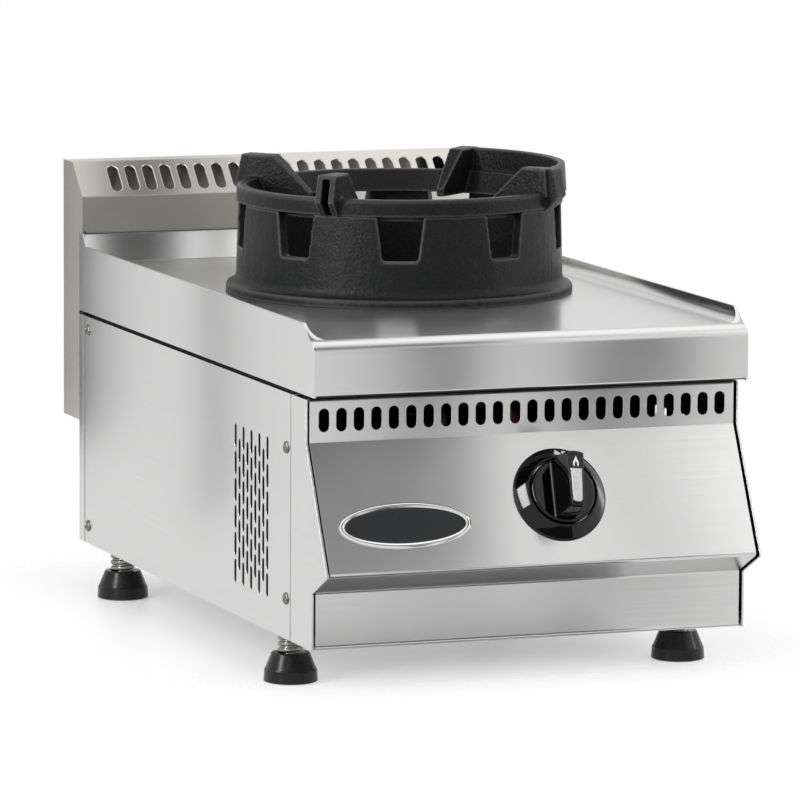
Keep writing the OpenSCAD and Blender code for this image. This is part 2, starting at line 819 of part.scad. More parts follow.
// Pressed steel bowl in the burner hole, open in the middle for the burner and its air
module spill_bowl() {
    hole_r = bowl_hole_d / 2;
    wall_r = burner_hole_d / 2 - sheet_t;
    path = [
        [hole_r, bowl_z], [hole_r + flange_w / 2, bowl_z], [wall_r, deck_z + sheet_t],
        [bowl_flange_d / 2, deck_z + sheet_t]];
    color("darkgray") translate([0, burner_y, 0])
        rotate_extrude() polygon(sheet_outline(folds(path, [fold_r, fold_r]), sheet_t));
}

// Hat-shaped bracket that carries the burner on the base tray
module burner_bracket() {
    side = bracket_w / 2;
    plate_t = 2 * sheet_t;
    path = [
        [-side - flange_w, tray_z + plate_t], [-side, tray_z + plate_t], [-side, cup_z],
        [side, cup_z], [side, tray_z + plate_t], [side + flange_w, tray_z + plate_t]];
    color("gray") translate([0, burner_y + bracket_d / 2, 0]) rotate([90, 0, 0])
        linear_extrude(bracket_d) polygon(sheet_outline(folds(path, [fold_r, fold_r, fold_r, fold_r]), plate_t));
}

// Cast cup that feeds the burner head, with a socket for the mixing tube
module burner_body() {
    color("dimgray") difference() {
        union() {
            translate([0, burner_y, cup_z]) cylinder(r = cup_r, h = cup_h);
            translate([0, burner_y, cup_rib_z]) cylinder(r = cup_rib_r, h = cup_rib_t);
            translate([0, socket_front, tube_z]) rotate([-90, 0, 0])
                cylinder(r = tube_r + socket_wall, h = burner_y - socket_front);
        }
        translate([0, burner_y, cup_z + cup_wall]) cylinder(r = cup_r - cup_wall, h = cup_h);
        translate([0, socket_front - over, tube_z]) rotate([-90, 0, 0]) {
            cylinder(r = tube_r + run_gap, h = socket_l - sheet_t + over);
            cylinder(r = tube_bore_r, h = burner_y - socket_front + over);
        }
    }
}

// Cast burner head: a low cone with two rings of flame ports, and a lip that locates it in the cup
module burner_head() {
    head_r = head_d / 2;
    lip_r = cup_r - cup_wall - seat_gap;
    crown_r = head_r * crown_share;
    top = head_h + head_crown;
    color("dimgray") translate([0, burner_y, cup_top_z]) difference() {
        rotate_extrude() polygon([
            [0, top], [crown_r, top], [head_r - head_shell / 2, head_h],
            [head_r, head_h - head_shell / 2], [head_r, 0], [lip_r, 0], [lip_r, -head_lip_l],
            [lip_r - head_shell, -head_lip_l], [lip_r - head_shell, head_h - head_shell],
            [crown_r, top - head_shell], [0, top - head_shell]]);
        for (ring = [[ports_outer, outer_ports_share], [ports_inner, inner_ports_share]])
            for (k = [0 : ring[0] - 1])
                rotate([0, 0, 360 * k / ring[0]]) translate([ring[1] * head_r, 0, 0])
                    cylinder(d = port_d, h = top + over);
    }
}

// Venturi tube with a flared mouth and a spoked hub for the injector
module mixing_tube() {
    mouth_r = mouth_d / 2;
    half_l = tube_l / 2;
    color("dimgray") translate([0, tube_front, tube_z]) rotate([-90, 0, 0]) difference() {
        union() {
            rotate_extrude() polygon([
                [mouth_r - tube_wall, 0], [mouth_r, 0], [mouth_r, hub_l], [tube_r, hub_l + mouth_l],
                [tube_r, tube_l], [tube_bore_r, tube_l], [tube_throat_r, half_l],
                [tube_bore_r, hub_l + mouth_l], [mouth_r - tube_wall, hub_l]]);
            cylinder(r = hub_r, h = hub_l);
            for (k = [0 : spokes - 1])
                rotate([0, 0, 90 + 360 * k / spokes]) translate([0, -spoke_w / 2, 0])
                    cube([mouth_r - tube_wall / 2, spoke_w, hub_l]);
        }
        translate([0, 0, -over]) cylinder(r = injector_r + run_gap, h = hub_l + 2 * over);
    }
}

// Brass jet with a hexagon, screwed into the mixing tube's hub
module injector() {
    color("goldenrod") translate([0, tube_front - injector_hex_l, tube_z]) rotate([-90, 0, 0]) difference() {
        union() {
            cylinder(d = injector_hex_d, h = injector_hex_l, $fn = 6);
            cylinder(r = injector_r, h = injector_l);
        }
        translate([0, 0, -over]) cylinder(r = injector_bore_r, h = injector_l + 2 * over);
        translate([0, 0, -over]) cylinder(d = injector_pipe_d + 2 * run_gap, h = injector_hex_l / 2 + over);
    }
}

// Pipe from the tap's outlet up to the injector
module injector_pipe() {
    outlet = tap_point(valve_out, 0, valve_out_l - pipe_seat_l);
    rise = tap_point(valve_out, 0, 2 * valve_out_l);
    jet = [0, tube_front - injector_hex_l / 2, tube_z];
    bend = 2 * injector_pipe_d;
    reach = jet - [0, 2 * bend, 0];
    color("peru") hollow_pipe([outlet, rise, reach, jet], injector_pipe_d / 2, sheet_t, bend);
}

// Places of the pilot and the thermocouple beside the burner head
function beside_burner(angle, z) = [pilot_reach * cos(angle), burner_y + pilot_reach * sin(angle), z];

// Small plate on the burner body's rib that holds the pilot and the thermocouple
module pilot_bracket() {
    arm_w = pilot_d + 2 * collar_t;
    color("silver") difference() {
        translate([0, burner_y, pilot_bracket_z]) linear_extrude(pilot_bracket_t) difference() {
            for (a = [pilot_angle, couple_angle]) rotate(a) translate([0, -arm_w / 2])
                square([pilot_reach + arm_w / 2, arm_w]);
            circle(r = cup_r + run_gap);
        }
        for (p = [[pilot_angle, pilot_d], [couple_angle, couple_d]])
            translate(beside_burner(p[0], pilot_bracket_z - over))
                cylinder(d = p[1] + 2 * run_gap, h = pilot_bracket_t + 2 * over);
    }
}

// A rod with a collar that sits on the pilot bracket
module collared_rod(angle, d, l) {
    translate(beside_burner(angle, pilot_z)) cylinder(d = d, h = l);
    translate(beside_burner(angle, pilot_bracket_z + pilot_bracket_t))
        cylinder(r = d / 2 + collar_w, h = collar_t);
}

// Pilot burner with a flame slot on the burner's side
module pilot_burner() {
    color("goldenrod") difference() {
        collared_rod(pilot_angle, pilot_d, pilot_l);
        translate(beside_burner(pilot_angle, pilot_z + pilot_l - pilot_d))
            rotate([0, 0, pilot_angle + 180]) translate([0, -collar_w / 2, 0])
                cube([pilot_d, collar_w, pilot_d / 2]);
    }
}

module thermocouple() color("peru") collared_rod(couple_angle, couple_d, pilot_l);

// Thin line from a port on the tap's side to a rod beside the burner
module side_line(port, angle, r, drop) {
    start = tap_point(port, -valve_port_l);
    finish = beside_burner(angle, pilot_z);
    low_z = pilot_z - drop;
    pipe_run([start, [finish[0], start[1], start[2]], [finish[0], fy(line_turn + drop), low_z],
              [finish[0], finish[1], low_z], finish], r, line_bend);
}

module pilot_pipe() color("lightgray") side_line(pilot_port, pilot_angle, pilot_pipe_d / 2, pilot_drop);
module thermocouple_lead() color("peru") side_line(couple_port, couple_angle, lead_d / 2, lead_drop);

// Gas tap: body behind the panel, threaded neck through it, one outlet up and two ports to the left
module valve_body() {
    color("goldenrod") on_panel(knob_x, knob_down) difference() {
        union() {
            translate([0, 0, -valve_l]) cylinder(d = valve_d, h = valve_l - sheet_t);
            translate([0, 0, -sheet_t - over]) cylinder(d = neck_d, h = over + sheet_t + neck_l);
            translate([0, 0, -valve_out]) rotate([-90, 0, 0]) cylinder(d = valve_out_d, h = valve_out_l);
            for (port = [pilot_port, couple_port])
                translate([0, 0, -port]) rotate([0, -90, 0]) cylinder(d = valve_port_d, h = valve_port_l);
        }
        translate([0, 0, -spindle_in - push_travel]) cylinder(d = spindle_d + 2 * run_gap, h = valve_l);
        translate([0, 0, -spindle_in - plunger_l - 2 * push_travel])
            cylinder(d = plunger_d + 2 * run_gap, h = valve_l);
        translate([0, 0, -valve_l - over]) cylinder(d = gas_pipe_d + 2 * run_gap, h = pipe_seat_l + over);
        translate([0, 0, -valve_out]) rotate([-90, 0, 0]) translate([0, 0, valve_out_l - pipe_seat_l])
            cylinder(d = injector_pipe_d + 2 * run_gap, h = pipe_seat_l + over);
    }
}

// Nut that holds the tap's neck to the panel, hidden under the knob
module valve_nut() {
    color("goldenrod") on_panel(knob_x, knob_down) difference() {
        cylinder(d = nut_d, h = nut_h, $fn = 6);
        translate([0, 0, -over]) cylinder(r = neck_d / 2 + run_gap, h = nut_h + 2 * over);
    }
}

// Rod that the spindle pushes to open the safety valve; it slides and doesn't turn
module valve_plunger() {
    color("silver") on_panel(knob_x, knob_down) translate([0, 0, -spindle_in - plunger_l])
        cylinder(d = plunger_d, h = plunger_l);
}

// Spindle that joins the knob to the tap
module valve_spindle() {
    color("silver") on_panel(knob_x, knob_down) translate([0, 0, -spindle_in])
        cylinder(d = spindle_d, h = spindle_in + spindle_out);
}

// Conical ring round the knob
module knob_bezel() {
    inner_r = bezel_in_d / 2;
    color("black") on_panel(knob_x, knob_down) rotate_extrude() polygon(concat(
        [[inner_r, 0], [bezel_d / 2, 0]],
        folds([[bezel_d / 2, bezel_round], [inner_r + bezel_round, bezel_h], [inner_r, bezel_h - bezel_round]],
              [bezel_round])));
}

// Everything to the left of the grip's right flank, which leans out to its foot and flares out upwards
module grip_flank() {
    face = (grip_w + grip_low_w) / 4;
    foot = face + grip_flare;
    foot_z = disc_z - slip_gap;
    lean = grip_flare / (knob_h - foot_z);
    taper = atan2((grip_w - grip_low_w) / 2, grip_l);
    rotate([0, 0, -taper]) rotate([90, 0, 0]) linear_extrude(2 * grip_l, center = true) polygon(concat(
        [[-grip_l, knob_rest + knob_round], [foot + knob_round, knob_rest + knob_round]],
        folds([[foot + 2 * knob_round, foot_z], [foot, foot_z], [face - lean * over, knob_h + over]],
              [2 * knob_round]),
        [[-grip_l, knob_h + over]]));
}

// Knob: a disc inside the bezel and a tall grip that points up when the gas is off
module knob() {
    disc_r = bezel_in_d / 2 - bezel_gap;
    color("black") on_panel(knob_x, knob_down) rotate([0, 0, -off_turn]) difference() {
        union() {
            rotate_extrude() polygon([
                [0, knob_rest], [disc_r, knob_rest], [disc_r, disc_z - knob_round],
                [disc_r - knob_round, disc_z], [0, disc_z]]);
            intersection() {
                grip_flank();
                mirror([1, 0, 0]) grip_flank();
                rotate_extrude() polygon(concat([[0, 0]], folds(
                    [[disc_r - knob_round, 0], [grip_l / 2, knob_h], [0, knob_h]], [grip_round])));
            }
        }
        cylinder(r = hollow_r, h = knob_hollow);
        cylinder(d = spindle_d, h = spindle_out);
    }
}

// Bright inlay on the lower part of the grip's face, narrowing towards its round lower end
module knob_insert() {
    low = grip_round - grip_l / 2;
    color("white") on_panel(knob_x, knob_down) rotate([0, 0, -off_turn]) translate([0, 0, knob_h])
        linear_extrude(inlay_t) polygon(folds(
            [[-inlay_w / 2, low + inlay_l], [-inlay_low_w / 2, low], [inlay_low_w / 2, low],
             [inlay_w / 2, low + inlay_l]], [inlay_round, inlay_round]));
}

// Supply pipe from the inlet at the back to the tap
module gas_pipe() {
    bend = 1.5 * gas_pipe_d;
    z = base_z + inlet_up;
    tap = tap_point(valve_l - pipe_seat_l);
    low = tap_point(valve_l + (tap_point(valve_l)[2] - z) / sin(tilt));
    turn_y = low[1] + 4 * bend;
    color("goldenrod") hollow_pipe([
        tap, low, [knob_x, turn_y, z], [inlet_x, turn_y, z], [inlet_x, fy(casing_d - inlet_l), z]],
        gas_pipe_d / 2, gas_pipe_wall, bend);
}

// Nipple through the back panel: a tail inside, a hexagon against the panel and the free thread
module gas_inlet() {
    color("goldenrod") translate([inlet_x, fy(casing_d), base_z + inlet_up]) rotate([-90, 0, 0]) difference() {
        union() {
            translate([0, 0, -inlet_l]) cylinder(r = inlet_tail_r, h = inlet_l + inlet_hex_l);
            cylinder(d = inlet_d + 2 * inlet_hex_lip, h = inlet_hex_l, $fn = 6);
            translate([0, 0, inlet_hex_l]) cylinder(d = inlet_d, h = inlet_l - inlet_hex_l);
        }
        translate([0, 0, -inlet_l - over])
            cylinder(r = gas_pipe_d / 2 - gas_pipe_wall, h = 2 * (inlet_l + over));
    }
}

// Lower casting: a flanged ring with windows open at its top edge
module ring_base() {
    foot_r = base_foot_d / 2;
    flange_r = base_flange_d / 2;
    flange_z = deck_z + base_flange_t;
    outer = folds([[flange_r, deck_z], [flange_r, flange_z], [foot_r, flange_z], [base_top_d / 2, base_top_z]],
                  [base_round, base_fillet]);
    sill = base_top_z - window_h;
    flare = (window_top_w - window_sill_w) / window_h;
    mouth = (window_top_w + over * flare) / 2;
    window = folds([[-mouth, base_top_z + over], [-window_sill_w / 2, sill],
                    [window_sill_w / 2, sill], [mouth, base_top_z + over]], [window_r, window_r]);
    color("dimgray") translate([0, burner_y, 0]) difference() {
        rotate_extrude() polygon(concat([[base_in_r, deck_z]], outer, [[base_in_r, base_top_z]]));
        for (k = [0 : windows - 1])
            rotate([0, 0, 360 * k / windows]) rotate([-90, 180, 0]) linear_extrude(flange_r) polygon(window);
    }
}

// The recess in the outer end of a lug on the left
module lug_recess(top_z) {
    translate([band_in_d / 2 + lug_cap, -lug_slot_w / 2, base_top_z - over])
        cube([lug_foot_r, lug_slot_w, top_z - base_top_z + over]);
}

// One lug of the pan support, along +X, with a sloped seat for the wok
module lug() {
    low_z = base_top_z - skirt_l;
    inner_r = skirt_r - lug_tip_h;
    intersection() {
        translate([0, lug_w / 2, 0]) rotate([90, 0, 0]) linear_extrude(lug_w) polygon([
            [lug_tip_r, low_z], [lug_tip_r, base_top_z + lug_tip_h], [lug_in_r, lug_top_z],
            [lug_out_r, lug_top_z], [lug_foot_r, band_top_z - lug_tip_h],
            [band_d / 2 + lug_tip_h, base_top_z], [inner_r, base_top_z], [inner_r, low_z]]);
        translate([0, 0, low_z]) linear_extrude(lug_top_z - low_z) polygon([
            [lug_tip_r, -lug_tip_w / 2], [band_d / 2, -lug_w / 2], [lug_foot_r, -lug_w / 2],
            [lug_foot_r, lug_w / 2], [band_d / 2, lug_w / 2], [lug_tip_r, lug_tip_w / 2]]);
    }
}

// Upper casting: a ring band with a locating skirt, four lugs, and a raised guard wall on the right
module pan_support() {
    band_r = band_d / 2;
    in_r = band_in_d / 2;
    low_z = base_top_z - skirt_l;
    guard_r = band_r + guard_over;
    guard_top_r = guard_r - guard_over / 2;
    guard_foot_z = band_top_z - guard_drop;
    color("dimgray") translate([0, burner_y, 0]) {
        difference() {
            union() {
                rotate_extrude() polygon(concat(
                    folds([[band_r, base_top_z], [band_r, band_top_z], [in_r, band_top_z]], [band_round]),
                    [[skirt_r - skirt_t, low_z], [skirt_r, low_z], [skirt_r, base_top_z]]));
                for (k = [0 : lugs - 1]) rotate([0, 0, (k + 1 / 2) * lug_turn]) lug();
            }
            for (k = [1, 2]) rotate([0, 0, (k + 1 / 2) * lug_turn]) lug_recess(lug_top_z - lug_cap);
        }
        rotate([0, 0, -lug_turn / 2 - guard_past]) rotate_extrude(angle = lug_turn + guard_past) polygon([
            [band_r - guard_t / 2, guard_foot_z], [guard_r, guard_foot_z], [guard_top_r, lug_top_z],
            [guard_top_r - guard_t, lug_top_z], [guard_r - guard_over - guard_t, guard_foot_z]]);
    }
}

// Places of the four feet
module at_feet() {
    for (x = [-foot_x, foot_x], y = [foot_front, foot_rear]) translate([x, fy(y), 0]) children();
}

// Threaded bushes on the base tray
module foot_sockets() {
    color("gray") at_feet() translate([0, 0, tray_z]) difference() {
        cylinder(r = bush_r, h = bush_h);
        translate([0, 0, -over]) cylinder(r = stem_r + run_gap, h = bush_h + 2 * over);
    }
}

// Black cup that stands on the floor while its stem turns in it
module pad(x, y) {
    r = pad_d / 2;
    shoulder = [r - pad_band_in, pad_band_h + pad_round / 2];
    color("black") translate([x, fy(y), 0]) difference() {
        rotate_extrude() polygon(concat(
            [[0, 0], [r - pad_round, 0], [r, pad_round / 2], [r - pad_band_in / 2, pad_band_h]],
            folds([shoulder, [pad_top_d / 2, pad_h], [0, pad_h]], [pad_round])));
        translate([0, 0, pad_floor]) cylinder(r = stem_r + run_gap, h = pad_h);
    }
}

// Threaded stem, drawn at its outer diameter
module stem(x, y) {
    color("gainsboro") translate([x, fy(y), pad_floor]) cylinder(r = stem_r, h = stem_l);
}

module front_left_pad() pad(-foot_x, foot_front);
module front_right_pad() pad(foot_x, foot_front);
module rear_left_pad() pad(-foot_x, foot_rear);
module rear_right_pad() pad(foot_x, foot_rear);
module front_left_stem() stem(-foot_x, foot_front);
module front_right_stem() stem(foot_x, foot_front);
module rear_left_stem() stem(-foot_x, foot_rear);
module rear_right_stem() stem(foot_x, foot_rear);

base_tray();
left_side_panel();
right_side_panel();
left_cheek();
right_cheek();
front_panel();
back_panel();
hob_spacers();
hob_top();
flue_hood();
side_screws();
badge_plate();
spill_bowl();
burner_bracket();
burner_body();
burner_head();
mixing_tube();
injector();
injector_pipe();
pilot_bracket();
pilot_burner();
pilot_pipe();
thermocouple();
thermocouple_lead();
valve_body();
valve_nut();
valve_plunger();
valve_spindle();
knob_bezel();
knob();
knob_insert();
gas_pipe();
gas_inlet();
ring_base();
pan_support();
foot_sockets();
front_left_pad();
front_right_pad();
rear_left_pad();
rear_right_pad();
front_left_stem();
front_right_stem();
rear_left_stem();
rear_right_stem();
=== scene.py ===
"""Countertop gas wok burner: looks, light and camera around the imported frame. Lengths are in metres."""
import json
import math
from contextlib import contextmanager
import bmesh
import bpy
from mathutils import Matrix, Vector
from mathutils.bvhtree import BVHTree


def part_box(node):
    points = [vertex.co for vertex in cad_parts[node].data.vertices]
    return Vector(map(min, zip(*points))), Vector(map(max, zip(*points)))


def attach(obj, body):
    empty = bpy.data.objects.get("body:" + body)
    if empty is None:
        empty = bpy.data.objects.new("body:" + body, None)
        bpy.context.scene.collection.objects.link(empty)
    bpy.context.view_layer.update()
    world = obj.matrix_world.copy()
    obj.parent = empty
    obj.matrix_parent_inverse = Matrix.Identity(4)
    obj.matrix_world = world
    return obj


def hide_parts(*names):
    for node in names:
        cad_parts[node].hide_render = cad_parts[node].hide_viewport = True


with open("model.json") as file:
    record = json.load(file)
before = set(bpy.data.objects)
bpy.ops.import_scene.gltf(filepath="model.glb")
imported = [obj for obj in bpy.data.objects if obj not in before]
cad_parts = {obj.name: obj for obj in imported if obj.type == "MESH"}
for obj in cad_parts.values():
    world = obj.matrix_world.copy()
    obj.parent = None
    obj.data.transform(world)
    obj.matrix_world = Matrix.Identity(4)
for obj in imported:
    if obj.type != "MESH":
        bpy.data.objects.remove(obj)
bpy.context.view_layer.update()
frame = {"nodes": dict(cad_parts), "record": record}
record = frame["record"]
body_of_node = {n: b for b, members in record["behaviour"]["bodies"].items() for n in members}
slot_of_node = {s["node"]: s["material_slot"] for s in record["subparts"]}
joint = {j["name"]: j for j in record["behaviour"]["joints"]}

MM = 0.001
FEET = [side + "_" + hand for side in ("front", "rear") for hand in ("left", "right")]

# The camera, fitted to the photograph: place, turn to the right, tilt down, roll and focal length
EYE = Vector((-2.0898, -5.6298, 1.0208))
YAW = math.radians(20.351)
PITCH = math.radians(7.682)
ROLL = math.radians(0.304)
FOCAL_PIXELS = 6703.3
IMAGE_PIXELS = 800
SENSOR_MM = 36.0

# The control panel's own axes at the knob: out of the panel, up along it, and across to the right
KNOB_AT = Vector(joint["knob_turn"]["pos_m"])
PANEL_OUT = Vector(joint["knob_turn"]["axis"]).normalized()
PANEL_ACROSS = Vector((1, 0, 0))
PANEL_UP = PANEL_OUT.cross(PANEL_ACROSS)

# Points closer than this are one, and faces that fold less than this are one flat face
WELD = 0.002 * MM
FLAT_FOLD = math.radians(0.6)
# Broken edge of the folded sheets, in mm
SHEET_EDGE_MM = 0.3
# Radius at the outer edges of the flue's slots, the largest of their cut faces in square metres, and the
# strip at the flue's ends that has no slots
SLOT_ROUND = 1.0 * MM
SLOT_CUT_AREA = 1e-4
FLUE_END = 5 * MM
# Threads: pitch and depth of the stems' coarse rolled one and of the inlet's half-inch pipe thread
STEM_PITCH, STEM_DEPTH = 5.5 * MM, 1.7 * MM
PIPE_PITCH, PIPE_DEPTH = 1.814 * MM, 1.16 * MM
# Pan heads: height, and half width and reach of the recess's arms, in shares of the head's radius;
# floors of the recess's middle and of its arms, in shares of the head's height
HEAD_RISE, ARM_HALF, ARM_REACH = 0.47, 0.17, 0.62
PIT_FLOOR, ARM_FLOOR = 0.55, 0.6
# The badge: height as a share of its width, width of its rim and height of its crown
BADGE_ROUND = 41 / 119.5
BADGE_RIM = 4.4 * MM
BADGE_TOP = 2.1 * MM
# The bezel's cone: radius and height in mm, at its foot and at its top
BEZEL_FOOT, BEZEL_TOP = (42.0, 1.7), (31.5, 10.7)
# The grip: its turn from upright when off, and the height of its face over the panel
OFF_TURN = math.radians(6.5)
GRIP_FACE = 45 * MM
# The floor: its size, the share of plain white in it, and the patch deep under the casing that keeps its
# shade, by its middle, its half sizes and the width of the fade around it
FLOOR_SIZE = 12.0
FLOOR_WHITE = 0.3
SHADE_MIDDLE, SHADE_HALF, SHADE_FADE = (0, 0.1, 0), (0.17, 0.23, 0), 0.22

# Flame signs, drawn in shares of their height from the foot's middle: an open flame and a solid one
OPEN_FLAME = [(0.02, 1.0), (0.09, 0.8), (0.19, 0.58), (0.27, 0.36), (0.25, 0.17), (0.16, 0.03),
              (0.11, 0.1), (0.13, 0.24), (0.08, 0.4), (0.0, 0.56), (-0.08, 0.4), (-0.13, 0.24),
              (-0.11, 0.1), (-0.16, 0.03), (-0.25, 0.17), (-0.27, 0.36), (-0.18, 0.58), (-0.06, 0.8)]
SOLID_FLAME = [(-0.03, 1.0), (0.07, 0.76), (0.2, 0.58), (0.33, 0.34), (0.36, 0.14), (0.24, 0.0),
               (-0.24, 0.0), (-0.36, 0.14), (-0.33, 0.34), (-0.18, 0.56), (-0.09, 0.76)]


def linear(hex_colour):
    """An sRGB hex colour as linear RGBA."""
    shares = [int(hex_colour[i:i + 2], 16) / 255 for i in (0, 2, 4)]
    return [c / 12.92 if c <= 0.04045 else ((c + 0.055) / 1.055) ** 2.4 for c in shares] + [1]


def add(tree, kind, values=(), links=(), **settings):
    """Adds a node with its settings, its input values and the sockets linked into it."""
    node = tree.nodes.new(kind)
    for name, value in settings.items():
        setattr(node, name, value)
    for name, value in dict(values).items():
        node.inputs[name].default_value = value
    for name, source in dict(links).items():
        tree.links.new(source, node.inputs[name])
    return node


def new_material(name):
    """An empty node material and its tree."""
    material = bpy.data.materials.new(name)
    material.use_nodes = True
    material.node_tree.nodes.clear()
    return material, material.node_tree


def surfaced(material, shader):
    """The material, with the shader as its surface."""
    add(material.node_tree, "ShaderNodeOutputMaterial", links={"Surface": shader.outputs[0]})
    return material


def stretched(tree, stretch, detail=4.0, uv_map=None):
    """Fac of a noise whose size along its axes is given in metres, in the object's place or in a UV map."""
    if uv_map:
        place = add(tree, "ShaderNodeUVMap", uv_map=uv_map).outputs["UV"]
    else:
        place = add(tree, "ShaderNodeTexCoord").outputs["Object"]
    shares = add(tree, "ShaderNodeMapping", {"Scale": [1 / s for s in stretch]}, {"Vector": place})
    noise = add(tree, "ShaderNodeTexNoise", {"Scale": 1.0, "Detail": detail},
                {"Vector": shares.outputs["Vector"]})
    return noise.outputs["Fac"]


# Brushed stainless sheet: ground with a belt, so it mirrors softly and smears light across the grain
def brushed_stainless(name, hex_low, hex_high, rough, smear):
    material, tree = new_material(name)
    # Belt lines of about 0.1 mm, drawn 1.6 mm wide and 250 mm long so that they show
    line = stretched(tree, (1.6 * MM, 250 * MM, 1.0), 3.0, "across_grain")
    tone = add(tree, "ShaderNodeMix", {6: linear(hex_low), 7: linear(hex_high)}, {0: line},
               data_type="RGBA")
    # The gloss changes slowly, over about 120 mm
    cloud = stretched(tree, [120 * MM] * 3, 2.0)
    gloss = add(tree, "ShaderNodeMapRange", {"To Min": rough - 0.05, "To Max": rough + 0.05},
                {"Value": cloud})
    across = add(tree, "ShaderNodeTangent", direction_type="UV_MAP", uv_map="across_grain")
    bump = add(tree, "ShaderNodeBump", {"Strength": 0.02, "Distance": 0.02 * MM}, {"Height": line})
    shader = add(tree, "ShaderNodeBsdfPrincipled", {"Metallic": 1.0, "Anisotropic": smear},
                 {"Base Color": tone.outputs[2], "Roughness": gloss.outputs["Result"],
                  "Tangent": across.outputs["Tangent"], "Normal": bump.outputs["Normal"]})
    return surfaced(material, shader)


# Sand-cast iron under black stove paint: grains of the mould and small blow holes, with soft highlights
def sand_cast_iron(name, hex_dark, hex_light, hex_worn_and_highlit):
    material, tree = new_material(name)
    # Mould grains of about 0.5 mm, drawn 2.4 mm wide so that they show, on a slow unevenness of 12 mm
    grit = stretched(tree, [2.4 * MM] * 3, 4.0)
    swell = stretched(tree, [12 * MM] * 3, 2.0)
    skin = add(tree, "ShaderNodeMath", {1: 1.2}, {0: swell, 2: grit}, operation="MULTIPLY_ADD")
    # Cells of 9 mm, of which one in four holds a blow hole of about 2 mm
    place = add(tree, "ShaderNodeTexCoord")
    cells = add(tree, "ShaderNodeTexVoronoi", {"Scale": 1 / (9 * MM)}, {"Vector": place.outputs["Object"]})
    pick = add(tree, "ShaderNodeSeparateColor", links={0: cells.outputs["Color"]})
    width = add(tree, "ShaderNodeMapRange",
                {"From Min": 0.75, "From Max": 0.8, "To Min": 0.001, "To Max": 0.13},
                {"Value": pick.outputs[0]})
    depth = add(tree, "ShaderNodeMapRange", {"From Min": 0.0, "To Min": -3.0, "To Max": 0.0},
                {"Value": cells.outputs["Distance"], "From Max": width.outputs["Result"]})
    height = add(tree, "ShaderNodeMath", links={0: skin.outputs[0], 1: depth.outputs["Result"]},
                 operation="ADD")
    bump = add(tree, "ShaderNodeBump", {"Strength": 1.0, "Distance": 0.6 * MM},
               {"Height": height.outputs[0]})
    # Convex edges turn from black to grey: partly wear where pans rub, partly a painted highlight along the
    # edges
    shape = add(tree, "ShaderNodeNewGeometry")
    edge_wear_and_highlight = add(tree, "ShaderNodeMapRange", {"From Min": 0.505, "From Max": 0.55, "To Max": 0.8},
               {"Value": shape.outputs["Pointiness"]})
    paint = add(tree, "ShaderNodeMix", {6: linear(hex_dark), 7: linear(hex_light)}, {0: grit},
                data_type="RGBA")
    colour = add(tree, "ShaderNodeMix", {7: linear(hex_worn_and_highlit)},
                 {0: edge_wear_and_highlight.outputs["Result"], 6: paint.outputs[2]}, data_type="RGBA")
    gloss = add(tree, "ShaderNodeMapRange", {"To Min": 0.28, "To Max": 0.52}, {"Value": grit})
    shader = add(tree, "ShaderNodeBsdfPrincipled", {"Specular IOR Level": 0.17},
                 {"Base Color": colour.outputs[2], "Roughness": gloss.outputs["Result"],
                  "Normal": bump.outputs["Normal"]})
    return surfaced(material, shader)


# A moulded, painted, plated or drawn surface: one colour with a fine unevenness in its gloss
def even_finish(name, hex_colour, metal, rough, spread, mark_mm, shine=0.5, dent=0.0):
    material, tree = new_material(name)
    mark = stretched(tree, [mark_mm * MM] * 3)
    gloss = add(tree, "ShaderNodeMapRange",
                {"To Min": max(rough - spread, 0.02), "To Max": rough + spread}, {"Value": mark})
    links = {"Roughness": gloss.outputs["Result"]}
    if dent:
        bump = add(tree, "ShaderNodeBump", {"Strength": dent, "Distance": 0.2 * MM}, {"Height": mark})
        links["Normal"] = bump.outputs["Normal"]
    shader = add(tree, "ShaderNodeBsdfPrincipled",
                 {"Base Color": linear(hex_colour), "Metallic": metal, "Specular IOR Level": shine}, links)
    return surfaced(material, shader)


SHEET = brushed_stainless("brushed stainless sheet", "C9C9C9", "D1D1D0", 0.24, 0.78)
FLUE_SHEET = brushed_stainless("bright annealed stainless flue", "CBC8C1", "D4D1CA", 0.4, 0.9)
# The third colour is the grey of the convex edges: part wear, part painted highlight
IRON = sand_cast_iron("black sand cast iron", "000000", "1F2020", "545453")
FINISHES = {
    # Matt paint: black that gives back almost no light; partly the spacer's own paint, partly painted shade
    # for the dark gap it fills
    "black_spacer": even_finish("matt black spacer paint as gap shade", "0A0A0A", 0.0, 0.7, 0.05, 3, shine=0.1),
    # Plating over turned steel: grey, with small sharp glints
    "bright_screw": even_finish("plated screw steel", "7A7872", 1.0, 0.22, 0.06, 2),
    # Bare sheet from the press: grey, with a broad dull shine
    "pressed_steel": even_finish("pressed mild steel", "9A9895", 1.0, 0.38, 0.08, 6),
    # Brass from the lathe: yellow, with a clear shine
    "brass": even_finish("machined brass", "B8934A", 1.0, 0.28, 0.06, 2),
    # Copper browned by heat: dark, with a dull shine
    "gas_line": even_finish("dulled copper pipe", "503627", 1.0, 0.45, 0.08, 5),
    # Drawn aluminium: pale, with a satin shine
    "pilot_line": even_finish("drawn aluminium pipe", "C8C8CA", 1.0, 0.3, 0.06, 4),
    # Steel from the lathe: grey and bright
    "tap_steel": even_finish("turned steel", "B0B0B0", 1.0, 0.2, 0.05, 2),
    # Plastic from a polished mould: black, with a sharp gloss
    "black_plastic": even_finish("gloss black moulding", "050505", 0.0, 0.05, 0.02, 8, shine=0.3),
    # Chrome on a smooth moulding: a slightly soft mirror
    "chrome_inlay": even_finish("polished chrome inlay", "BABABA", 1.0, 0.18, 0.08, 4),
    # Zinc on a rolled thread: bright crests between dark roots
    "plated_thread": even_finish("zinc plated thread", "8C8C8A", 1.0, 0.16, 0.06, 2),
    # Fired enamel: dark grey, with an even sheen
    "badge": even_finish("dark enamel plate", "26282A", 0.0, 0.3, 0.06, 4, shine=0.3),
    "cast_iron": IRON,
    "stainless_sheet": SHEET,
}
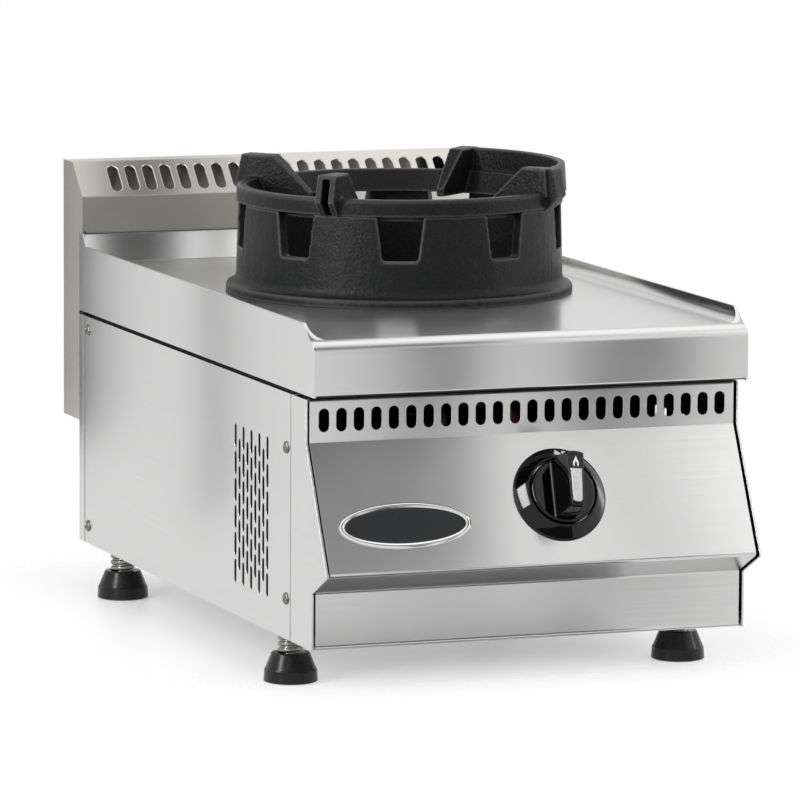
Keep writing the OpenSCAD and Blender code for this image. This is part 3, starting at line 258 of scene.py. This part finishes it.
# Moulded feet: satin black with a slight grain
PAD_RUBBER = even_finish("satin black foot moulding", "0A0A0A", 0.0, 0.26, 0.06, 2, shine=0.3, dent=0.04)
# The sheets' inner faces keep the mill's dull grey, darkened as painted shade so that the casing's inside
# looks dark through the slots
MILL_SIDE_PAINTED_SHADE = even_finish("dull mill finish with painted shade", "4A4A48", 1.0, 0.55, 0.08, 8)
# Polished and plated rim: a clear mirror
BRIGHT_RIM = even_finish("polished badge rim", "D8D8D6", 1.0, 0.12, 0.04, 5)
# Card: dark, even and dull
CARD_BLACK = even_finish("black card", "050505", 0.0, 0.9, 0.05, 50)
CARD_GREY = even_finish("dark grey card", "585858", 0.0, 0.9, 0.05, 50)
# Printed ink: plain white
SIGN_WHITE = even_finish("white sign ink", "E8E8E8", 0.0, 0.4, 0.05, 2)


def placed(name, data):
    """A new object in the scene."""
    thing = bpy.data.objects.new(name, data)
    bpy.context.scene.collection.objects.link(thing)
    return thing


def on_body(name, mesh, body, material):
    """A new object that rides on a body, with its material."""
    piece = placed(name, mesh)
    mesh.materials.clear()
    mesh.materials.append(material)
    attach(piece, body)
    return piece


def stand_in(name, mesh, node, material):
    """A new object that stands for a node, which it hides: it rides on the node's body."""
    piece = on_body(name, mesh, body_of_node[node], material)
    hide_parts(node)
    return piece


def settled(piece):
    """Applies the piece's modifiers."""
    seen = piece.evaluated_get(bpy.context.evaluated_depsgraph_get())
    mesh = bpy.data.meshes.new_from_object(seen)
    piece.modifiers.clear()
    piece.data = mesh
    return piece


@contextmanager
def opened(mesh):
    """The mesh's corners, edges and faces for editing, written back at the end."""
    shape = bmesh.new()
    shape.from_mesh(mesh)
    yield shape
    shape.to_mesh(mesh)
    shape.free()


def new_mesh(name, spots, faces):
    """A mesh from its corners and faces."""
    mesh = bpy.data.meshes.new(name)
    mesh.from_pydata(spots, [], faces)
    mesh.update()
    return mesh


def smoothed(mesh, sharp):
    """The mesh, shaded smooth up to a fold of that many degrees."""
    mesh.shade_smooth()
    mesh.set_sharp_from_angle(angle=math.radians(sharp))
    return mesh


def welded_copy(node):
    """The node's mesh as a new one, with its seams closed and its flat faces whole."""
    mesh = frame["nodes"][node].data.copy()
    with opened(mesh) as shape:
        bmesh.ops.remove_doubles(shape, verts=shape.verts, dist=WELD)
        bmesh.ops.dissolve_limit(shape, angle_limit=FLAT_FOLD, verts=shape.verts, edges=shape.edges)
    return mesh


def mark_grain(mesh):
    """UVs that run across the grain first: up the sides, and along the folded outline elsewhere."""
    layer = mesh.uv_layers.get("across_grain") or mesh.uv_layers.new(name="across_grain")
    for face in mesh.polygons:
        side = abs(face.normal.x) > 0.7
        for k in face.loop_indices:
            p = mesh.vertices[mesh.loops[k].vertex_index].co
            layer.data[k].uv = (p.z, p.y) if side else (p.y + p.z, p.x)


def rolled_slots(mesh):
    """Rounds over the outer edges of the slots in the flue's slope."""
    with opened(mesh) as shape:
        # The slope looks up and forwards, and the small cut faces stand square to it
        faces = [f for f in shape.faces if f.normal.z > 0.2 and f.normal.y < -0.2]
        slope = max(faces, key=lambda f: f.calc_area()).normal.copy()
        top = {f for f in faces if f.normal.dot(slope) > 0.99}
        cut = {f for f in shape.faces
               if abs(f.normal.dot(slope)) < 0.1 and f.calc_area() < SLOT_CUT_AREA}
        ends = max(v.co.x for v in shape.verts) - FLUE_END
        lips = [e for e in shape.edges if top & set(e.link_faces) and cut & set(e.link_faces)
                and all(abs(v.co.x) < ends for v in e.verts)]
        bmesh.ops.bevel(shape, geom=lips, offset=SLOT_ROUND, segments=3, profile=0.5, affect="EDGES")
    return mesh


def edged(node, material, edge_mm, steps=2, sharp=32, grain=False, mesh=None):
    """A copy of a node with its sharp edges broken, which stands for the node."""
    piece = stand_in(node + "_finished", mesh or welded_copy(node), node, material)
    piece.data.shade_smooth()
    if edge_mm:
        bevel = piece.modifiers.new("broken edges", "BEVEL")
        bevel.width = edge_mm * MM
        bevel.segments = steps
        bevel.limit_method = "ANGLE"
        bevel.angle_limit = math.radians(sharp)
        bevel.use_clamp_overlap = False
        bevel.harden_normals = False
    else:
        piece.data.set_sharp_from_angle(angle=math.radians(sharp))
    weight = piece.modifiers.new("flat faces", "WEIGHTED_NORMAL")
    weight.keep_sharp = True
    settled(piece)
    if grain:
        mark_grain(piece.data)
    return piece


def mill_and_shade_faces(piece, inner):
    """Gives the faces of a sheet that inner picks the dull mill finish of its inner side, darkened as painted
    shade.
    """
    piece.data.materials.append(MILL_SIDE_PAINTED_SHADE)
    for face in piece.data.polygons:
        face.material_index = 1 if inner(face) else 0


def cast(node, voxel_mm, passes):
    """A copy of a casting with softly rounded edges, which stands for the node."""
    piece = stand_in(node + "_cast", welded_copy(node), node, IRON)
    grid = piece.modifiers.new("even grid", "REMESH")
    grid.mode = "VOXEL"
    grid.voxel_size = voxel_mm * MM
    soft = piece.modifiers.new("rounded edges", "SMOOTH")
    soft.factor = 0.5
    soft.iterations = passes
    fewer = piece.modifiers.new("fewer faces", "DECIMATE")
    fewer.ratio = 0.45
    settled(piece)
    piece.data.shade_smooth()


def islands(node):
    """Lowest and highest corner of each separate solid in a node, in a fixed order."""
    shape = bmesh.new()
    shape.from_mesh(frame["nodes"][node].data)
    bmesh.ops.remove_doubles(shape, verts=shape.verts, dist=WELD)
    left = set(shape.verts)
    boxes = []
    while left:
        front = [left.pop()]
        seen = list(front)
        while front:
            near = {e.other_vert(v) for v in front for e in v.link_edges} & left
            left -= near
            front = list(near)
            seen += front
        corners = [[pick(v.co[k] for v in seen) for k in range(3)] for pick in (min, max)]
        boxes.append([Vector(c) for c in corners])
    shape.free()
    return sorted(boxes, key=lambda box: box[0][:])


def turned_mesh(name, outline, steps):
    """A closed outline of radius and height pairs, turned about Z."""
    ring = len(outline)
    spots = [(r * math.cos(math.tau * k / steps), r * math.sin(math.tau * k / steps), z)
             for k in range(steps) for r, z in outline]
    faces = [(k * ring + i, (k + 1) % steps * ring + i, (k + 1) % steps * ring + (i + 1) % ring,
              k * ring + (i + 1) % ring) for k in range(steps) for i in range(ring)]
    return new_mesh(name, spots, faces)


def bands(pairs, steps):
    """Faces between pairs of rings, each ring of that many corners."""
    return [(i * steps + k, i * steps + (k + 1) % steps, j * steps + (k + 1) % steps, j * steps + k)
            for i, j in pairs for k in range(steps)]


def lids(rings, steps):
    """The faces that close the first and the last ring."""
    return [tuple(reversed(range(steps))), tuple(range((rings - 1) * steps, rings * steps))]


def thread_rows(radius, depth, pitch, start, length, steps=56, rows_per_turn=12):
    """Rows of a screw thread, each a height and its radii, chamfered at both ends."""
    # Root and flank as shares of half a pitch, and the share of the depth that is left at the very ends
    root, rise, runout = 0.12, 0.5, 0.15
    count = round(length / pitch * rows_per_turn) + 1
    rows = []
    for i in range(count):
        z = length * i / (count - 1)
        end = min(1.0, z / depth, (length - z) / depth)
        radii = []
        for k in range(steps):
            phase = (z / pitch - k / steps) % 1.0
            flank = min(1.0, max(0.0, (1 - abs(2 * phase - 1) - root) / rise))
            crest = flank * flank * (3 - 2 * flank)
            radii.append(radius - depth + depth * min(crest, runout + (1 - runout) * end))
        rows.append((start + z, radii))
    return rows


def skinned(name, rows, bore=0.0):
    """A closed skin over rows of radii about Z, solid or with a bore."""
    steps = len(rows[0][1])
    turn = [(math.cos(math.tau * k / steps), math.sin(math.tau * k / steps)) for k in range(steps)]
    loop = list(rows)
    if bore:
        loop += [(rows[-1][0], [bore] * steps), (rows[0][0], [bore] * steps)]
    spots = [(radii[k] * turn[k][0], radii[k] * turn[k][1], z) for z, radii in loop for k in range(steps)]
    faces = bands([(i, i + 1) for i in range(len(loop) - 1)], steps)
    faces += bands([(len(loop) - 1, 0)], steps) if bore else lids(len(loop), steps)
    return smoothed(new_mesh(name, spots, faces), 50)


def panel_place(across, up, out):
    """Takes a piece drawn in the panel's own axes, Z out of it, to a point measured from the knob's axis."""
    turn = Matrix((PANEL_ACROSS, PANEL_UP, PANEL_OUT)).transposed().to_4x4()
    spot = KNOB_AT + PANEL_ACROSS * across + PANEL_UP * up + PANEL_OUT * out
    return Matrix.Translation(spot) @ turn


def slot_finishes():
    """Every node takes its slot's finish; the other pieces then stand for the nodes that need more shape."""
    for node, solid in frame["nodes"].items():
        solid.data.materials.clear()
        solid.data.materials.append(FINISHES[slot_of_node[node]])
    for foot in FEET:
        frame["nodes"][foot + "_pad"].data.materials[0] = PAD_RUBBER


def folded_sheets():
    """The casing's sheets, each with its unground inner faces dull and darkened as painted shade."""
    for node, inward in {"base_tray": (0, 0, 1), "left_side_panel": (1, 0, 0), "right_side_panel": (-1, 0, 0),
                         "left_cheek": None, "right_cheek": None, "front_panel": (0, 1, 0),
                         "back_panel": (0, -1, 0), "hob_top": (0, 0, -1)}.items():
        sheet = edged(node, SHEET, SHEET_EDGE_MM, grain=True)
        if inward:
            mill_and_shade_faces(sheet, lambda face: face.normal.dot(Vector(inward)) > 0.5)


def slotted_flue():
    """The flue hood, with rolled slots and a dull inside darkened as painted shade."""
    hood = edged("flue_hood", FLUE_SHEET, 0, grain=True, mesh=rolled_slots(welded_copy("flue_hood")))
    walls = BVHTree.FromPolygons([v.co for v in hood.data.vertices],
                                 [f.vertices[:] for f in hood.data.polygons])
    # Inner faces look back at the hood and take the painted shade; the narrow cut faces of its slots stay
    # bright
    mill_and_shade_faces(hood, lambda face: face.area > SLOT_CUT_AREA
               and walls.ray_cast(face.center + face.normal * 0.1 * MM, face.normal)[0])


def threaded_stems():
    """Foot stems with their rolled thread."""
    for foot in FEET:
        low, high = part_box(foot + "_stem")
        rows = thread_rows((high.x - low.x) / 2, STEM_DEPTH, STEM_PITCH, 0.0, high.z - low.z)
        rod = skinned(foot + "_thread", rows)
        rod.transform(Matrix.Translation(((low.x + high.x) / 2, (low.y + high.y) / 2, low.z)))
        stand_in(foot + "_threaded_stem", rod, foot + "_stem", FINISHES["plated_thread"])


def pan_heads():
    """Pan heads with a cross recess, one for each side screw, on its shank."""
    mesh = bpy.data.meshes.new("side_screw_heads")
    with opened(mesh) as heads:
        for low, high in islands("side_screws"):
            side = -1 if low.x < 0 else 1
            radius = (high.y - low.y) / 2
            rise = radius * HEAD_RISE
            # Recess, dome and flat underside, from the axis outwards and back
            outline = [(0.0, rise * PIT_FLOOR), (radius * 0.16, rise * PIT_FLOOR),
                       (radius * 0.2, rise * 0.98)]
            outline += [(radius * math.sin(a), rise * math.cos(a) ** 0.8) for a in
                        [math.radians(12 * k + 14) for k in range(7)]]
            outline += [(radius, 0.0), (0.0, 0.0)]
            head = turned_mesh("head", outline, 32)
            for v in head.vertices:
                arm = (min(abs(v.co.x), abs(v.co.y)) < radius * ARM_HALF
                       and v.co.xy.length < radius * ARM_REACH)
                if arm and v.co.z > rise * ARM_FLOOR:
                    v.co.z = rise * ARM_FLOOR
            outer = side * abs(high.x if side > 0 else low.x)
            spot = Vector((outer, (low.y + high.y) / 2, (low.z + high.z) / 2))
            seat = spot - Vector((side * rise, 0, 0))
            head.transform(Matrix.Translation(seat) @ Matrix.Rotation(side * math.pi / 2, 4, "Y"))
            heads.from_mesh(head)
        bmesh.ops.remove_doubles(heads, verts=heads.verts, dist=WELD / 2)
        bmesh.ops.recalc_face_normals(heads, faces=heads.faces)
    stand_in("side_screw_heads", smoothed(mesh, 40), "side_screws", FINISHES["bright_screw"])


def bare_badge():
    """A bare oval plate: a polished crowned rim round a sunken dark field."""
    low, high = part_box("badge_plate")
    wide = (high.x - low.x) / 2
    short = wide * BADGE_ROUND
    shift = (low + high) / 2 - KNOB_AT
    rim, top, steps = BADGE_RIM, BADGE_TOP, 96
    # Insets from the edge and heights: foot, shoulder, crown, inner slope, field
    section = [(0.0, 0.0), (0.0, top * 0.6), (rim * 0.25, top * 0.95), (rim * 0.5, top),
               (rim * 0.8, top * 0.9), (rim, top * 0.62), (rim * 1.6, top * 0.62)]
    rings = len(section)
    turn = [(math.cos(math.tau * k / steps), math.sin(math.tau * k / steps)) for k in range(steps)]
    spots = [((wide - inset) * x, (short - inset) * y, z) for inset, z in section for x, y in turn]
    back, field = lids(rings, steps)
    faces = bands([(i, i + 1) for i in range(rings - 1)], steps) + [field, back]
    mesh = new_mesh("bare_badge", spots, faces)
    mesh.transform(panel_place(shift.x, shift.dot(PANEL_UP), 0.0))
    stand_in("bare_badge", mesh, "badge_plate", BRIGHT_RIM)
    # The last band and the field are enamelled
    mesh.materials.append(FINISHES["badge"])
    for face in mesh.polygons:
        face.material_index = 1 if face.index >= (rings - 2) * steps else 0
    mesh.polygons[-1].material_index = 0
    smoothed(mesh, 50)


def moulded_bezel():
    """The ring round the knob: a narrow foot, a cone and a rounded inner edge."""
    outline = [(42.0, 0.0), (42.0, 1.0), (41.7, 1.5), (41.2, 1.7), (40.8, 1.8), (40.5, 2.1), (40.2, 2.5),
               (32.4, 10.0), (31.9, 10.5), (31.3, 10.9), (30.8, 11.0), (30.4, 10.9), (30.1, 10.6),
               (30.0, 10.0), (30.0, 0.0)]
    mesh = smoothed(turned_mesh("moulded_bezel", [(r * MM, z * MM) for r, z in outline], 160), 40)
    mesh.transform(panel_place(0, 0, 0))
    stand_in("moulded_bezel", mesh, "knob_bezel", FINISHES["black_plastic"])


def printed_sign(name, outline, place, body):
    """A thin inked shape: place takes its X, Y and its height over the surface to a point."""
    flat = len(outline)
    spots = [place(x * MM, y * MM, lift) for lift in (-0.05 * MM, 0.08 * MM) for x, y in outline]
    mesh = new_mesh(name, spots, bands([(0, 1)], flat) + lids(2, flat))
    with opened(mesh) as shape:
        bmesh.ops.triangulate(shape, faces=[f for f in shape.faces if len(f.verts) > 4])
        bmesh.ops.recalc_face_normals(shape, faces=shape.faces)
    on_body(name, mesh, body, SIGN_WHITE)


def on_grip(x, y, lift):
    """A point on the grip's face, in the knob's own turned axes."""
    turned = Matrix.Rotation(-OFF_TURN, 4, "Z") @ Vector((x, y, GRIP_FACE + lift))
    return panel_place(0, 0, 0) @ turned


def on_bezel(angle):
    """Points on the bezel's cone round an angle to the right of its top, with Y outwards."""
    (low_r, low_z), (top_r, top_z) = BEZEL_FOOT, BEZEL_TOP
    slant = math.hypot(low_r - top_r, top_z - low_z)
    fall, drop = (low_r - top_r) / slant, (top_z - low_z) / slant

    def point(x, y, lift):
        radius = (low_r + top_r) / 2 * MM + y * fall + lift * drop
        height = (low_z + top_z) / 2 * MM - y * drop + lift * fall
        around = math.radians(angle) + x / radius
        return panel_place(0, 0, 0) @ Vector((radius * math.sin(around), radius * math.cos(around), height))
    return point


def knob_signs():
    """An open flame on the grip, and a solid flame and a dot on the bezel, in mm."""
    high, foot = 10, 10
    printed_sign("grip_flame", [(high * x, high * y + foot) for x, y in OPEN_FLAME], on_grip, "knob")
    high, foot = 8.5, -4.2
    printed_sign("bezel_flame", [(high * x, high * y + foot) for x, y in SOLID_FLAME], on_bezel(2), "casing")
    radius, steps = 2.7, 24
    dot = [(radius * math.cos(math.tau * k / steps), radius * math.sin(math.tau * k / steps))
           for k in range(steps)]
    printed_sign("bezel_dot", dot, on_bezel(13), "casing")


def screwed_inlet():
    """The gas nipple: tail, hexagon and pipe thread, with its bore."""
    low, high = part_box("gas_inlet")
    tail_r, hex_r, thread_r, bore = 10.18 * MM, 13.48 * MM, 10.48 * MM, 7 * MM
    hex_h, chamfer, steps = 6 * MM, 0.5 * MM, 72
    length = high.y - low.y
    mid, foot = length / 2, length / 2 + hex_h
    flat = hex_r * math.cos(math.pi / 6)
    edge = [flat / math.cos((math.tau * k / steps) % (math.pi / 3) - math.pi / 6) for k in range(steps)]
    soft = [min(r, hex_r * 0.97) for r in edge]
    rows = [(0.0, [tail_r] * steps), (mid, [tail_r] * steps), (mid, soft), (mid + chamfer, edge),
            (foot - chamfer, edge), (foot, soft)]
    rows += thread_rows(thread_r, PIPE_DEPTH, PIPE_PITCH, foot, length - hex_h - mid, steps)
    mesh = skinned("screwed_inlet", rows, bore)
    spot = Matrix.Translation(((low.x + high.x) / 2, low.y, (low.z + high.z) / 2))
    mesh.transform(spot @ Matrix.Rotation(-math.pi / 2, 4, "X"))
    stand_in("screwed_inlet", mesh, "gas_inlet", FINISHES["brass"])


def seen_in_picture(tree):
    """1 for what the camera, a mirror or glass sees, and 0 for light that falls on other things."""
    path = add(tree, "ShaderNodeLightPath")
    seen = path.outputs["Is Camera Ray"]
    for kind in ("Is Glossy Ray", "Is Transmission Ray"):
        either = add(tree, "ShaderNodeMath", links={0: seen, 1: path.outputs[kind]}, operation="MAXIMUM")
        seen = either.outputs[0]
    return seen


def flat_mesh(name, width, height):
    """A flat rectangle about its middle."""
    w, h = width / 2, height / 2
    return new_mesh(name, [(-w, -h, 0), (w, -h, 0), (w, h, 0), (-w, h, 0)], [(0, 1, 2, 3)])


# Pale painted floor: keeps a soft shade under the casing and fades into the white surroundings
def studio_floor():
    material, tree = new_material("pale studio floor")
    # Distance on the floor from the patch that keeps its shade
    place = add(tree, "ShaderNodeTexCoord")
    shifted = add(tree, "ShaderNodeVectorMath", {1: SHADE_MIDDLE}, {0: place.outputs["Object"]},
                  operation="SUBTRACT")
    folded = add(tree, "ShaderNodeVectorMath", links={0: shifted.outputs[0]}, operation="ABSOLUTE")
    past = add(tree, "ShaderNodeVectorMath", {1: SHADE_HALF}, {0: folded.outputs[0]}, operation="SUBTRACT")
    outside = add(tree, "ShaderNodeVectorMath", {1: (0, 0, 0)}, {0: past.outputs[0]}, operation="MAXIMUM")
    far = add(tree, "ShaderNodeVectorMath", links={0: outside.outputs[0]}, operation="LENGTH")
    fade = add(tree, "ShaderNodeMapRange", {"From Min": 0.0, "From Max": SHADE_FADE},
               {"Value": far.outputs["Value"]}, interpolation_type="SMOOTHSTEP")
    paint = add(tree, "ShaderNodeBsdfPrincipled",
                {"Base Color": linear("F7F7F7"), "Roughness": 0.35, "IOR": 1.3})
    white = add(tree, "ShaderNodeEmission", {"Color": linear("FFFFFF"), "Strength": 1.0})
    share = add(tree, "ShaderNodeMapRange", {"To Min": 0.0, "To Max": FLOOR_WHITE},
                {"Value": seen_in_picture(tree)})
    pale = add(tree, "ShaderNodeMixShader",
               links={0: share.outputs["Result"], 1: paint.outputs[0], 2: white.outputs[0]})
    clear = add(tree, "ShaderNodeBsdfTransparent")
    mix = add(tree, "ShaderNodeMixShader",
              links={0: fade.outputs["Result"], 1: pale.outputs[0], 2: clear.outputs[0]})
    return surfaced(material, mix)


def pale_floor():
    """The floor that the part stands on."""
    mesh = flat_mesh("floor", FLOOR_SIZE, FLOOR_SIZE)
    mesh.materials.append(studio_floor())
    placed("floor", mesh)


def studio_world():
    """White for the camera and for mirrors, and an even soft light for everything else."""
    world = bpy.data.worlds.new("white studio")
    bpy.context.scene.world = world
    world.use_nodes = True
    tree = world.node_tree
    tree.nodes.clear()
    seen = seen_in_picture(tree)
    soft = add(tree, "ShaderNodeBackground", {"Color": linear("FFFFFF"), "Strength": 0.7})
    white = add(tree, "ShaderNodeBackground", {"Color": linear("FFFFFF"), "Strength": 1.0})
    mix = add(tree, "ShaderNodeMixShader", links={0: seen, 1: soft.outputs[0], 2: white.outputs[0]})
    add(tree, "ShaderNodeOutputWorld", links={"Surface": mix.outputs[0]})


def facing(place, aim):
    """The turn and place of a flat thing whose face looks from its place to a point."""
    turn = (Vector(aim) - Vector(place)).to_track_quat("-Z", "Y").to_matrix().to_4x4()
    return Matrix.Translation(place) @ turn


def dark_card(name, place, aim, width, height, material=CARD_BLACK):
    """A dark card that only mirrors see, so that the metal takes its dark stretches from it."""
    mesh = flat_mesh(name, width, height)
    mesh.materials.append(material)
    card = placed(name, mesh)
    card.matrix_world = facing(place, aim)
    for kind in ("camera", "diffuse", "transmission", "shadow"):
        setattr(card, "visible_" + kind, False)


def soft_box(name, place, aim, width, height, watts, lean=0.0):
    """A rectangular lamp at a place, facing a point and leaning by so many degrees."""
    lamp = bpy.data.lights.new(name, "AREA")
    lamp.shape = "RECTANGLE"
    lamp.size = width
    lamp.size_y = height
    lamp.energy = watts
    placed(name, lamp).matrix_world = facing(place, aim) @ Matrix.Rotation(math.radians(lean), 4, "Z")


def photo_camera():
    """The camera at the photograph's place and angle."""
    back = Vector((-math.sin(YAW) * math.cos(PITCH), -math.cos(YAW) * math.cos(PITCH), math.sin(PITCH)))
    level = Vector((0, 0, 1)).cross(back).normalized()
    upright = back.cross(level)
    right = math.cos(ROLL) * level + math.sin(ROLL) * upright
    up = -math.sin(ROLL) * level + math.cos(ROLL) * upright
    data = bpy.data.cameras.new("photo camera")
    data.sensor_width = SENSOR_MM
    data.lens = FOCAL_PIXELS * SENSOR_MM / IMAGE_PIXELS
    data.clip_end = 100
    camera = placed("photo camera", data)
    camera.matrix_world = Matrix.Translation(EYE) @ Matrix((right, up, back)).transposed().to_4x4()
    bpy.context.scene.camera = camera


# The part
slot_finishes()
folded_sheets()
slotted_flue()
cast("ring_base", voxel_mm=1.3, passes=3)
cast("pan_support", voxel_mm=1.1, passes=2)
edged("knob", FINISHES["black_plastic"], 0.7, steps=3, sharp=35)
edged("knob_insert", FINISHES["chrome_inlay"], 0.25, sharp=35)
edged("burner_head", IRON, 0.6, sharp=40)
threaded_stems()
pan_heads()
bare_badge()
moulded_bezel()
knob_signs()
screwed_inlet()

# The stage: floor, surroundings, lamps, cards and camera
pale_floor()
studio_world()
soft_box("strip light on the left", (-1.515, -0.57, 0.867), KNOB_AT, 0.18, 1.6, 21, lean=37)
soft_box("strip light on the right", (1.6, -0.65, 0.87), (0.05, 0.0, 0.35), 0.18, 1.6, 6, lean=-30)
soft_box("overhead", (0.1, 0.1, 2.3), (0, 0.1, 0.2), 2.2, 2.2, 8)
soft_box("soft box on the right", (0.95, -1.35, 1.15), (0.1, -0.3, 0.2), 0.9, 0.9, 1.3)
dark_card("card over the panel", (0.06, -1.0, 0.86), (-0.05, -0.33, 0.2), 0.5, 0.34)
dark_card("strip card in front", (0.22, -1.15, 0.3), (-0.09, -0.31, 0.28), 0.08, 0.5)
dark_card("low strip card on the right", (0.42, -1.12, 0.25), (0.11, -0.31, 0.28), 0.11, 0.5)
dark_card("high strip card on the right", (0.48, -1.0, 0.9), (0.1, -0.33, 0.2), 0.045, 0.6)
# The grey card on the floor is painted shade: the metal under the panel mirrors it as a darker floor in front
# of the casing
dark_card("painted shade card on the floor", (-0.1, -0.43, 0.004), (-0.1, -0.43, 1.0), 0.45, 0.18, CARD_GREY)
dark_card("card over the flue", (-0.01, 0.28, 0.75), (-0.01, 0.34, 0.38), 0.09, 0.7)
dark_card("strip card over the flue", (0.075, 0.28, 0.75), (0.075, 0.34, 0.38), 0.02, 0.7)
dark_card("strip card on the left", (-0.31, 0.25, 0.4), (-0.2, -0.08, 0.3), 0.015, 0.7)
dark_card("strip card at the back", (-0.313, 0.748, 0.4), (-0.2, 0.41, 0.3), 0.07, 0.7)
photo_camera()
bpy.context.scene.view_settings.view_transform = "Standard"
